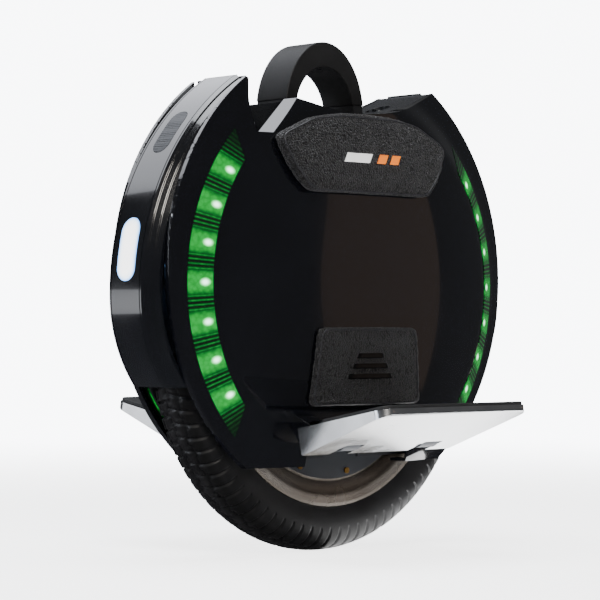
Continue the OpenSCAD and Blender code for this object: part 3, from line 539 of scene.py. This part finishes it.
def grooved(piece):
    """Runs three thin grooves round each side of a band."""
    net = bmesh.new()
    net.from_mesh(piece.data)
    for side in (1, -1):
        for near, far in GROOVES:
            middle = (near + far) / 2
            for y in (near, near + 0.0003, far - 0.0003, far):
                bmesh.ops.bisect_plane(net, geom=net.verts[:] + net.edges[:] + net.faces[:], dist=0.00001,
                                       plane_co=(0, side * y, 0), plane_no=(0, 1, 0))
            for point in net.verts:
                if abs(point.co.y * side - middle) < (far - near) / 2 - 0.0002:
                    centre_x = 0 if point.co.z > BAND_Z else math.copysign(BAND_R - BAND_LOW_R, point.co.x)
                    spoke = Vector((point.co.x - centre_x, 0, point.co.z - BAND_Z))
                    slope = max(0.0, abs(point.co.y) - BAND_FLAT)
                    face = (BAND_R if point.co.z > BAND_Z else BAND_LOW_R) - slope
                    if spoke.length > face - 0.002:
                        point.co -= spoke.normalized() * GROOVE_DEEP
    net.to_mesh(piece.data)
    net.free()


def trued(piece):
    """Turns a band's shading to the round and the slope that it was drawn on."""
    shape = piece.data
    facing = [Vector(corner.vector) for corner in shape.corner_normals]
    for face in shape.polygons:
        for corner in face.loop_indices:
            place = shape.vertices[shape.loops[corner].vertex_index].co
            above = place.z > BAND_Z
            spoke = Vector((place.x - (0 if above else math.copysign(BAND_R - BAND_LOW_R, place.x)), 0,
                            place.z - BAND_Z))
            reach = (BAND_R if above else BAND_LOW_R) - max(0.0, abs(place.y) - BAND_FLAT)
            if abs(spoke.length - reach) > 0.0003:
                continue
            curve = spoke.normalized()
            if abs(face.normal.y) > 0.35:
                curve = (curve + Vector((0, math.copysign(1.0, place.y), 0))).normalized()
            if curve.dot(face.normal) > 0.9:
                facing[corner] = curve
    shape.normals_split_custom_set(facing)


band_lacquer, band_shader, band_at = new_finish("lacquered_band_abs", {
    "IOR": 1.5, "Coat Weight": 1.0, "Coat Roughness": 0.05, "Coat IOR": 1.5})
band_dust = add(band_lacquer, "ShaderNodeTexNoise", {"Vector": band_at, "Scale": 22.0, "Detail": 5.0})
band_peel = add(band_lacquer, "ShaderNodeTexNoise", {"Vector": band_at, "Scale": 260.0})
band_colour = add(band_lacquer, "ShaderNodeMix", {
    0: band_dust.outputs["Fac"], 6: linear("#040507"), 7: linear("#0b0c10")}, data_type="RGBA")
band_gloss = add(band_lacquer, "ShaderNodeMapRange", {
    "Value": band_dust.outputs["Fac"], "From Min": 0.35, "From Max": 0.7, "To Min": 0.1, "To Max": 0.2})
band_bump = add(band_lacquer, "ShaderNodeBump", {
    "Height": band_peel.outputs["Fac"], "Strength": 0.02, "Distance": 0.0002})
wire(band_lacquer, band_shader, {
    "Base Color": band_colour.outputs[2], "Roughness": band_gloss.outputs[0],
    "Normal": band_bump.outputs["Normal"]})
for end in ("front", "rear"):
    band = eased(end + "_band", end + "_lacquered_band", "chassis", 0.00025, 2, grooved)
    trued(band)
    coat(band_lacquer, band.name)


# ---------- light strips ----------
# Clear polycarbonate strips over green lamps, with ribs moulded across the back to spread the light.
# Each lamp shows a near-white core that fades to vivid green, and the ribs draw darker lines.
LAMP_STEP = math.radians(10.9)
RIB_STEP = math.radians(10.9) / 9
STRIP_IN = 0.188

lit, lit_shader, lit_at = new_finish("lit_green_polycarbonate", {
    "IOR": 1.58, "Roughness": 0.12, "Coat Weight": 1.0, "Coat Roughness": 0.04})
lit_folded = add(lit, "ShaderNodeVectorMath", {0: lit_at}, operation="ABSOLUTE")
lit_centred = add(lit, "ShaderNodeMapping", {
    "Vector": lit_folded.outputs[0], "Location": (0, 0, -PANEL_Z), "Scale": (1, 0, 1)})
lit_xyz = add(lit, "ShaderNodeSeparateXYZ", {0: lit_centred.outputs[0]})
lit_angle = add(lit, "ShaderNodeMath", {0: lit_xyz.outputs["Z"], 1: lit_xyz.outputs["X"]}, operation="ARCTAN2")
lit_radius = add(lit, "ShaderNodeVectorMath", {0: lit_centred.outputs[0]}, operation="LENGTH")
lamp_number = add(lit, "ShaderNodeMath", {0: lit_angle.outputs[0], 1: LAMP_STEP}, operation="DIVIDE")
lamp_round = add(lit, "ShaderNodeMath", {0: lamp_number.outputs[0]}, operation="ROUND")
lamp_near = add(lit, "ShaderNodeClamp", {0: lamp_round.outputs[0], 1: -3.0, 2: 3.0})
lamp_off = add(lit, "ShaderNodeMath", {0: lamp_number.outputs[0], 1: lamp_near.outputs[0]},
               operation="SUBTRACT")
lamp_side = add(lit, "ShaderNodeMath", {0: lamp_off.outputs[0]}, operation="ABSOLUTE")
cell = add(lit, "ShaderNodeMapRange", {
    "Value": lamp_side.outputs[0], "From Min": 0.12, "From Max": 0.42, "To Min": 1.0, "To Max": 0.0},
    interpolation_type="SMOOTHSTEP")
lamp_along = add(lit, "ShaderNodeMath", {0: lamp_off.outputs[0], 1: 38.0}, operation="MULTIPLY")
lamp_across = add(lit, "ShaderNodeMath", {0: lit_radius.outputs["Value"], 1: STRIP_IN + 0.0065},
                  operation="SUBTRACT")
lamp_wide = add(lit, "ShaderNodeMath", {0: lamp_across.outputs[0], 1: 900.0}, operation="MULTIPLY")
lamp_place = add(lit, "ShaderNodeCombineXYZ", {0: lamp_along.outputs[0], 1: lamp_wide.outputs[0]})
lamp_far = add(lit, "ShaderNodeVectorMath", {0: lamp_place.outputs[0]}, operation="LENGTH")
core = add(lit, "ShaderNodeMapRange", {
    "Value": lamp_far.outputs["Value"], "From Min": 0.6, "From Max": 5.2, "To Min": 1.0, "To Max": 0.0},
    interpolation_type="SMOOTHSTEP")
glint = add(lit, "ShaderNodeTexVoronoi", {"Vector": lit_at, "Scale": 260.0})
glint_shade = add(lit, "ShaderNodeMapRange", {
    "Value": glint.outputs["Distance"], "From Min": 0.1, "From Max": 0.8, "To Min": 1.15, "To Max": 0.75})
rib_turn = add(lit, "ShaderNodeMath", {0: lit_angle.outputs[0], 1: 6.2832 / RIB_STEP}, operation="MULTIPLY")
rib_wave = add(lit, "ShaderNodeMath", {0: rib_turn.outputs[0]}, operation="COSINE")
rib_line = add(lit, "ShaderNodeMapRange", {
    "Value": rib_wave.outputs[0], "From Min": -0.2, "From Max": 0.8, "To Min": 0.0, "To Max": 0.55})
cell_lit = add(lit, "ShaderNodeMath", {0: rib_line.outputs[0], 1: cell.outputs[0]}, operation="MAXIMUM")
cell_glow = add(lit, "ShaderNodeMath", {0: cell_lit.outputs[0], 1: glint_shade.outputs[0]},
                operation="MULTIPLY")
strip_reach = add(lit, "ShaderNodeMath", {0: lamp_number.outputs[0]}, operation="ABSOLUTE")
strip_tip = add(lit, "ShaderNodeMapRange", {
    "Value": strip_reach.outputs[0], "From Min": 3.3, "From Max": 3.8, "To Min": 1.0, "To Max": 0.12})
cell_power = add(lit, "ShaderNodeMath", {0: cell_glow.outputs[0], 1: strip_tip.outputs[0]},
                 operation="MULTIPLY")
cell_ramp = add(lit, "ShaderNodeValToRGB", {"Fac": cell_power.outputs[0]})
for stop, colour in ((0.35, "#006a1e"), (0.8, "#00e84a")):
    cell_ramp.color_ramp.elements.new(stop).color = linear(colour)
cell_ramp.color_ramp.elements[0].color = linear("#001a06")
cell_ramp.color_ramp.elements[-1].color = linear("#10ff5a")
lit_colour = add(lit, "ShaderNodeMix", {
    0: core.outputs[0], 6: cell_ramp.outputs["Color"], 7: linear("#d8ffe6")}, data_type="RGBA")
# Painted glow: the base colour turns greener wherever the lamps and ribs shine, following their brightness, not
# only in the emission.
strip_tint_with_painted_glow = add(lit, "ShaderNodeMix", {
    0: cell_power.outputs[0], 6: linear("#020a04"), 7: linear("#04501c")}, data_type="RGBA")
strip_power = add(lit, "ShaderNodeMapRange", {
    "Value": core.outputs[0], "To Min": 0.42, "To Max": 4.5})
wire(lit, lit_shader, {
    "Base Color": strip_tint_with_painted_glow.outputs[2], "Emission Color": lit_colour.outputs[2],
    "Emission Strength": strip_power.outputs[0]})
coat(lit, "front_left_strip", "front_right_strip", "rear_left_strip", "rear_right_strip")


# ---------- headlight and tail light ----------
# Clear moulded lenses over a reflector: the headlight burns white in the middle and blue at its rim.
# The tail light is the same lens in red plastic, unlit.
LAMP_Z = (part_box("headlight_lens")[0][2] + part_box("headlight_lens")[1][2]) / 2
lens, lens_shader, lens_at = new_finish("lit_headlight_lens", {
    "IOR": 1.58, "Roughness": 0.1, "Coat Weight": 1.0, "Coat Roughness": 0.03})
lens_xyz = add(lens, "ShaderNodeSeparateXYZ", {0: lens_at})
lens_up = add(lens, "ShaderNodeMath", {0: lens_xyz.outputs["Z"], 1: LAMP_Z}, operation="SUBTRACT")
lens_rise = add(lens, "ShaderNodeMath", {0: lens_up.outputs[0]}, operation="ABSOLUTE")
lens_end = add(lens, "ShaderNodeMath", {0: lens_rise.outputs[0], 1: 0.017}, operation="SUBTRACT")
lens_past = add(lens, "ShaderNodeMath", {0: lens_end.outputs[0], 1: 0.0}, operation="MAXIMUM")
lens_place = add(lens, "ShaderNodeCombineXYZ", {0: lens_xyz.outputs["Y"], 1: lens_past.outputs[0]})
lens_far = add(lens, "ShaderNodeVectorMath", {0: lens_place.outputs[0]}, operation="LENGTH")
lens_fac = add(lens, "ShaderNodeMapRange", {
    "Value": lens_far.outputs["Value"], "From Min": 0.006, "From Max": 0.0128})
lens_ramp = add(lens, "ShaderNodeValToRGB", {"Fac": lens_fac.outputs[0]})
lens_ramp.color_ramp.elements[0].color = linear("#ffffff")
lens_ramp.color_ramp.elements.new(0.55).color = linear("#e4f2ff")
lens_ramp.color_ramp.elements[-1].color = linear("#6fb2ff")
# Painted glow: the base colour takes the same white-to-blue ramp as the lamp's emission.
wire(lens, lens_shader, {
    "Base Color": lens_ramp.outputs["Color"], "Emission Color": lens_ramp.outputs["Color"],
    "Emission Strength": 2.2})
coat(lens, "headlight_lens")
red_lens = grained("red_polycarbonate", "#5c0606", "#9a0f0d", 2.0, 0.05, (0.08, 0.16),
                   {"IOR": 1.58, "Coat Weight": 1.0, "Coat Roughness": 0.03})
coat(red_lens, "tail_light_lens")
chrome = grained("vacuum_plated_plastic", "#c9ccd0", "#e4e6e9", 1.5, 0.02, (0.05, 0.1), {"Metallic": 1.0})
coat(chrome, "headlight_reflector")


# ---------- speaker grille ----------
# A pressed steel sheet, punched with small round holes and coated grey.
# The holes are about 1 mm across on a 1.5 mm grid, painted near black for the shade inside them, with a soft
# bright burr.
HOLE_STEP = 0.0016
mesh_metal, mesh_shader, mesh_at = new_finish("punched_coated_steel", {"Metallic": 0.7})
hole_cells = add(mesh_metal, "ShaderNodeTexVoronoi", {
    "Vector": mesh_at, "Scale": 1 / HOLE_STEP, "Randomness": 0.0})
hole = add(mesh_metal, "ShaderNodeMapRange", {
    "Value": hole_cells.outputs["Distance"], "From Min": 0.3, "From Max": 0.42})
# Painted shade: each hole is a near-black dot on the sheet, standing in for the dark inside it.
grille_with_painted_hole_shade = add(mesh_metal, "ShaderNodeMix", {
    0: hole.outputs[0], 6: linear("#08090a"), 7: linear("#45474a")}, data_type="RGBA")
mesh_gloss = add(mesh_metal, "ShaderNodeMapRange", {"Value": hole.outputs[0], "To Min": 0.8, "To Max": 0.35})
mesh_bump = add(mesh_metal, "ShaderNodeBump", {
    "Height": hole.outputs[0], "Strength": 0.8, "Distance": 0.0005})
wire(mesh_metal, mesh_shader, {"Base Color": grille_with_painted_hole_shade.outputs[2], "Roughness": mesh_gloss.outputs[0],
                               "Normal": mesh_bump.outputs["Normal"]})
coat(mesh_metal, "speaker_grille")


# ---------- top deck, charge socket and buttons ----------
# A dished deck moulded in black ABS with a fine spark texture, so it takes a broad pale sheen.
# The socket is a plated steel ring under a rubber cap, and the power button is polished steel.
deck_plastic = grained("spark_textured_abs", "#0f1013", "#191b1f", 0.7, 0.05, (0.24, 0.34),
                       {"IOR": 1.5, "Coat Weight": 0.5, "Coat Roughness": 0.15})
deck = eased("top_deck", "dished_deck", "chassis", 0.0008, 2)
coat(deck_plastic, deck.name)
coat(steel, "charge_socket")
cap_rubber = grained("moulded_silicone", "#151516", "#222224", 0.9, 0.1, (0.48, 0.62), {"IOR": 1.45})
coat(cap_rubber, "charge_cap")
polished = grained("polished_steel", "#a8abb0", "#cfd2d6", 0.6, 0.01, (0.06, 0.12), {"Metallic": 1.0})
coat(polished, "power_button")
lift_abs = grained("moulded_black_abs", "#101113", "#1c1d20", 0.9, 0.06, (0.35, 0.48), {"IOR": 1.5})
coat(lift_abs, "lift_button")


# ---------- handle ----------
# A steel core in a moulded grip of soft-touch rubber, with a collar at each foot.
# Soft-touch rubber is matt charcoal with almost no shine and a dusty edge where light grazes it.
core_paint = grained("powder_coated_steel", "#242528", "#34363a", 1.0, 0.15, (0.5, 0.62), {"Metallic": 0.3})
coat(core_paint, "handle_core")
soft_touch = grained("soft_touch_rubber", "#0c0c0d", "#19191a", 0.9, 0.12, (0.5, 0.66), {"IOR": 1.42})
grip = eased("handle_grip", "soft_touch_grip", "chassis", 0.004, 4)
collars = eased("handle_collars", "grip_collars", "chassis", 0.0012, 3)
coat(soft_touch, grip.name)
coat(nylon, collars.name)


# ---------- leg pads ----------
# Foam pads in a moulded skin of pebbled polyurethane, stuck to the shells.
# The skin is matt black with painted shade in the crevices between its pebbles, which are about 2.5 mm across,
# and a smooth rolled edge drawn lighter than the skin as a painted highlight.
def pebbled_skin(name, pebble_mm):
    finish, shader, place = new_finish(name, {"IOR": 1.48, "Sheen Weight": 0.08, "Sheen Roughness": 0.4})
    cells = add(finish, "ShaderNodeTexVoronoi", {"Vector": place, "Scale": 1000 / pebble_mm},
                feature="DISTANCE_TO_EDGE")
    dome = add(finish, "ShaderNodeMapRange", {"Value": cells.outputs["Distance"], "From Max": 0.28},
               interpolation_type="SMOOTHSTEP")
    wear = add(finish, "ShaderNodeTexNoise", {"Vector": place, "Scale": 30.0, "Detail": 4.0})
    body = add(finish, "ShaderNodeMix", {
        0: wear.outputs["Fac"], 6: linear("#0d0c0f"), 7: linear("#19181b")}, data_type="RGBA")
    # Painted shade: the colour falls to near black in the crevices between pebbles.
    colour = add(finish, "ShaderNodeMix", {
        0: dome.outputs[0], 6: linear("#010101"), 7: body.outputs[2]}, data_type="RGBA")
    gloss = add(finish, "ShaderNodeMapRange", {"Value": dome.outputs[0], "To Min": 0.7, "To Max": 0.34})
    bump = add(finish, "ShaderNodeBump", {
        "Height": dome.outputs[0], "Strength": 1.0, "Distance": 0.0012})
    wire(finish, shader, {"Base Color": colour.outputs[2], "Roughness": gloss.outputs[0],
                          "Normal": bump.outputs["Normal"]})
    return finish


def swollen(node, name, voxel, sink, cap, pressure):
    """A pad grown from its CAD solid: remeshed, sunk a little, then swelled by cloth under pressure."""
    piece = cad[node].copy()
    piece.data = cad[node].data.copy()
    for key in list(piece.keys()):
        del piece[key]
    piece.parent = None
    piece.name = name
    bpy.context.scene.collection.objects.link(piece)
    bpy.context.view_layer.objects.active = piece
    piece.select_set(True)
    bpy.ops.object.mode_set(mode="EDIT")
    bpy.ops.mesh.select_all(action="SELECT")
    bpy.ops.mesh.remove_doubles(threshold=0.00002)
    bpy.ops.object.mode_set(mode="OBJECT")
    grid = piece.modifiers.new("grid", "REMESH")
    grid.mode = "VOXEL"
    grid.voxel_size = voxel
    bpy.ops.object.modifier_apply(modifier="grid")
    soften = piece.modifiers.new("soften", "SMOOTH")
    soften.factor = 0.5
    soften.iterations = 14
    bpy.ops.object.modifier_apply(modifier="soften")
    for point, normal in [(p, p.normal.copy()) for p in piece.data.vertices]:
        point.co -= normal * sink
    start = [p.co.copy() for p in piece.data.vertices]
    outward = 1 if start[0].y > 0 else -1
    back = piece.vertex_groups.new(name="back")
    back.add([p.index for p in piece.data.vertices if p.normal.y * outward < -0.3], 1.0, "REPLACE")
    cloth = piece.modifiers.new("cloth", "CLOTH")
    cloth.settings.vertex_group_mass = "back"
    cloth.settings.use_pressure = True
    cloth.settings.uniform_pressure_force = pressure
    cloth.settings.effector_weights.gravity = 0
    cloth.point_cache.frame_start = 1
    cloth.point_cache.frame_end = 20
    for step in range(1, 21):
        bpy.context.scene.frame_set(step)
    puffed = piece.evaluated_get(bpy.context.evaluated_depsgraph_get()).to_mesh()
    moved = [p.co.copy() for p in puffed.vertices]
    piece.modifiers.remove(cloth)
    bpy.context.scene.frame_set(1)
    for point, before, after in zip(piece.data.vertices, start, moved):  # foam holds the skin back
        step = after - before
        if step.length > cap:
            step *= cap / step.length
        point.co = before + step
    piece.vertex_groups.clear()
    settle = piece.modifiers.new("settle", "SMOOTH")
    settle.factor = 0.5
    settle.iterations = 10
    bpy.ops.object.modifier_apply(modifier="settle")
    finer = piece.modifiers.new("finer", "SUBSURF")
    finer.levels = finer.render_levels = 1
    bpy.ops.object.modifier_apply(modifier="finer")
    bpy.ops.object.shade_smooth()
    piece.select_set(False)
    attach(piece, "chassis")
    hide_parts(node)
    return piece


def laid_on(pad, x, z):
    """The point of a pad's outer face at this place in side view."""
    outward = 1 if pad.data.vertices[0].co.y > 0 else -1
    hit, place, normal, face = pad.ray_cast((x, outward * 0.3, z), (0, -outward, 0))
    return place, normal


def bead(pad, name, corners, inset, thick, finish):
    """A thin rolled bead that follows a pad's outline on its outer face."""
    middle = sum((Vector(c) for c in corners), Vector((0, 0))) / len(corners)
    pulled = [Vector(c) + (middle - Vector(c)).normalized() * inset for c in corners]
    route = []
    for k, corner in enumerate(pulled):
        before, after = pulled[k - 1], pulled[(k + 1) % len(pulled)]
        start = corner + (before - corner).normalized() * BEAD_TURN
        end = corner + (after - corner).normalized() * BEAD_TURN
        route += [start.lerp(corner, t).lerp(corner.lerp(end, t), t) for t in (0, 0.25, 0.5, 0.75, 1)]
        next_start = after + (corner - after).normalized() * BEAD_TURN
        steps = max(1, int((next_start - end).length / 0.006))
        route += [end.lerp(next_start, n / steps) for n in range(1, steps)]
    bpy.ops.mesh.primitive_circle_add(vertices=len(route), radius=0.05)
    piece = bpy.context.object
    piece.name = name
    for point, (x, z) in zip(piece.data.vertices, route):
        place, normal = laid_on(pad, x, z)
        point.co = place
    bpy.ops.object.convert(target="CURVE")
    piece.data.bevel_depth = thick
    piece.data.bevel_resolution = 2
    bpy.ops.object.convert(target="MESH")
    bpy.ops.object.shade_smooth()
    piece.data.materials.clear()
    piece.data.materials.append(finish)
    piece.select_set(False)
    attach(piece, "chassis")


def inlay(pad, name, corners, proud, finish):
    """A slanted bar let into a pad's face, laid on its curve and standing a little proud."""
    bpy.ops.mesh.primitive_grid_add(x_subdivisions=10, y_subdivisions=5, size=2)
    piece = bpy.context.object
    piece.name = name
    (x0, z0), (x1, z1), (x2, z2), (x3, z3) = corners
    outward = 1 if pad.data.vertices[0].co.y > 0 else -1
    for point in piece.data.vertices:
        u, v = (point.co.x + 1) / 2, (point.co.y + 1) / 2
        x = (x0 * (1 - u) + x1 * u) * (1 - v) + (x3 * (1 - u) + x2 * u) * v
        z = (z0 * (1 - u) + z1 * u) * (1 - v) + (z3 * (1 - u) + z2 * u) * v
        place, normal = laid_on(pad, x * -outward, z)
        point.co = place + Vector((0, outward * proud, 0))
    bpy.ops.object.mode_set(mode="EDIT")
    bpy.ops.mesh.select_all(action="SELECT")
    bpy.ops.mesh.normals_make_consistent(inside=False)
    bpy.ops.object.mode_set(mode="OBJECT")
    if piece.data.polygons[0].normal.y * outward < 0:
        piece.data.flip_normals()
    wall = piece.modifiers.new("wall", "SOLIDIFY")
    wall.thickness = proud + 0.0006
    wall.offset = -1
    bpy.ops.object.modifier_apply(modifier="wall")
    round_off = piece.modifiers.new("round_off", "BEVEL")
    round_off.width = 0.0003
    round_off.segments = 2
    round_off.angle_limit = math.radians(50)
    bpy.ops.object.modifier_apply(modifier="round_off")
    bpy.ops.object.shade_smooth_by_angle(angle=math.radians(40))
    piece.data.materials.append(finish)
    piece.select_set(False)
    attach(piece, "chassis")


BEAD_TURN = 0.009
UPPER_HALF = [(0.084, 0.351), (0.104, 0.374), (0.118, 0.404), (0.076, 0.424), (0.040, 0.430)]
UPPER_OUTLINE = UPPER_HALF + [(0.0, 0.432)] + [(-x, z) for x, z in reversed(UPPER_HALF)]
LOWER_OUTLINE = [(-0.078, 0.145), (0.078, 0.145), (0.069, 0.223), (-0.069, 0.223)]
ACCENT_BARS = (("white", -0.040, 0.034, 0.0), ("amber", 0.004, 0.012, 0.0), ("amber", 0.022, 0.012, 0.0))
# Painted highlight: the bead is the pads' polyurethane drawn lighter than the pad skin, so its rolled edge
# reads as a highlight line.
bead_with_painted_highlight = grained("rolled_edge_painted_highlight", "#1b1b1d", "#2c2c30", 0.9, 0.05, (0.28, 0.4), {"IOR": 1.48})
white_ink = grained("moulded_white_inlay", "#dcdcda", "#efefed", 0.8, 0.03, (0.4, 0.5), {"IOR": 1.48})
amber_ink = grained("moulded_amber_inlay", "#e06a10", "#f08420", 0.8, 0.03, (0.4, 0.5), {"IOR": 1.48})
black_inlay = grained("moulded_black_inlay", "#030303", "#060607", 0.8, 0.02, (0.16, 0.24), {"IOR": 1.5})
pebbled = pebbled_skin("pebbled_polyurethane", 2.7)
fine_pebbled = pebbled_skin("fine_pebbled_polyurethane", 2.3)
for side in ("left", "right"):
    upper = swollen(side + "_upper_pad", side + "_leg_pad", 0.0025, 0.0002, 0.0014, 4)
    coat(pebbled, upper.name)
    lower = swollen(side + "_lower_pad", side + "_calf_pad", 0.0017, 0.0, 0.0006, 4)
    coat(fine_pebbled, lower.name)
    bead(upper, side + "_leg_pad_bead", UPPER_OUTLINE, 0.0058, 0.0008, bead_with_painted_highlight)
    bead(lower, side + "_calf_pad_bead", LOWER_OUTLINE, 0.0062, 0.0008, bead_with_painted_highlight)
    for n, (ink, start, length, tilt) in enumerate(ACCENT_BARS):
        z0, z1 = 0.382, 0.391
        bar = [(start, z0), (start + length, z0), (start + length + 0.005, z1), (start + 0.005, z1)]
        inlay(upper, f"{side}_accent_bar_{n}", bar, 0.0004, white_ink if ink == "white" else amber_ink)
    for n in range(3):
        z0 = 0.172 + 0.010 * n
        rib = [(-0.030 + 0.006 * n, z0), (0.030 - 0.006 * n, z0), (0.028 - 0.006 * n, z0 + 0.005),
               (-0.028 + 0.006 * n, z0 + 0.005)]
        inlay(lower, f"{side}_calf_pad_rib_{n}", rib, 0.0009, black_inlay)


# ---------- pedal hangers ----------
# Die-cast aluminium arms from the axle down to the pedal hinge, painted dark grey.
# Cast and painted metal is satin with a slightly pitted grain.
hanger_cast = grained("painted_die_casting", "#3a3c40", "#54575c", 1.3, 0.2, (0.36, 0.5), {"Metallic": 0.6})
for side in ("left", "right"):
    arm = eased(side + "_hanger", side + "_cast_arm", "chassis", 0.0012, 3)
    coat(hanger_cast, arm.name)


# ---------- pedals ----------
# Cast magnesium alloy plates, vibration polished and clear coated, with a glued rubber mat.
# Polished casting is bright silver with a soft cloudy sheen, and the mat is ribbed black rubber.
bright_cast, cast_shader, cast_at = new_finish("polished_casting", {
    "Metallic": 1.0, "Coat Weight": 0.25, "Coat Roughness": 0.15})
cast_cloud = add(bright_cast, "ShaderNodeTexNoise", {"Vector": cast_at, "Scale": 35.0, "Detail": 5.0})
cast_pits = add(bright_cast, "ShaderNodeTexNoise", {"Vector": cast_at, "Scale": 700.0, "Detail": 2.0})
cast_colour = add(bright_cast, "ShaderNodeMix", {
    0: cast_cloud.outputs["Fac"], 6: linear("#d4d6d8"), 7: linear("#eeeff0")}, data_type="RGBA")
cast_gloss = add(bright_cast, "ShaderNodeMapRange", {
    "Value": cast_cloud.outputs["Fac"], "From Min": 0.3, "From Max": 0.7, "To Min": 0.16, "To Max": 0.28})
cast_bump = add(bright_cast, "ShaderNodeBump", {
    "Height": cast_pits.outputs["Fac"], "Strength": 0.15, "Distance": 0.0001})
wire(bright_cast, cast_shader, {"Base Color": cast_colour.outputs[2], "Roughness": cast_gloss.outputs[0],
                                "Normal": cast_bump.outputs["Normal"]})
mat_rubber = grained("ribbed_mat_rubber", "#131314", "#202021", 1.1, 0.4, (0.55, 0.7), {"IOR": 1.5})
PIN_Y = 0.0965
PIN_Z = 0.116
TILT = math.radians(10.6)
MAT_IN = 0.017
MAT_OUT = 0.096
MAT_END = 0.0995
MAT_UPPER = 0.0145
MAT_PROUD = 0.0014
MAT_LONGER = 1.035


def spread(piece):
    """Trims a mat to the pedal's rim and gives it its full thickness."""
    for point in piece.data.vertices:
        side = math.copysign(1.0, point.co.y)
        y, z = point.co.y * side - PIN_Y, point.co.z - PIN_Z
        out = y * math.cos(TILT) + z * math.sin(TILT)
        up = z * math.cos(TILT) - y * math.sin(TILT)
        out = MAT_IN + (out - MAT_IN) * (MAT_END - MAT_IN) / (MAT_OUT - MAT_IN)
        if up > MAT_UPPER:
            up += MAT_PROUD
        point.co.x *= MAT_LONGER
        point.co.y = side * (PIN_Y + out * math.cos(TILT) - up * math.sin(TILT))
        point.co.z = PIN_Z + out * math.sin(TILT) + up * math.cos(TILT)


for side in ("left", "right"):
    plate = eased(side + "_pedal", side + "_cast_pedal", side + "_pedal_arm", 0.0038, 5)
    coat(bright_cast, plate.name)
    mat = eased(side + "_pedal_mat", side + "_ribbed_mat", side + "_pedal_arm", 0.0006, 2, spread)
    coat(mat_rubber, mat.name)
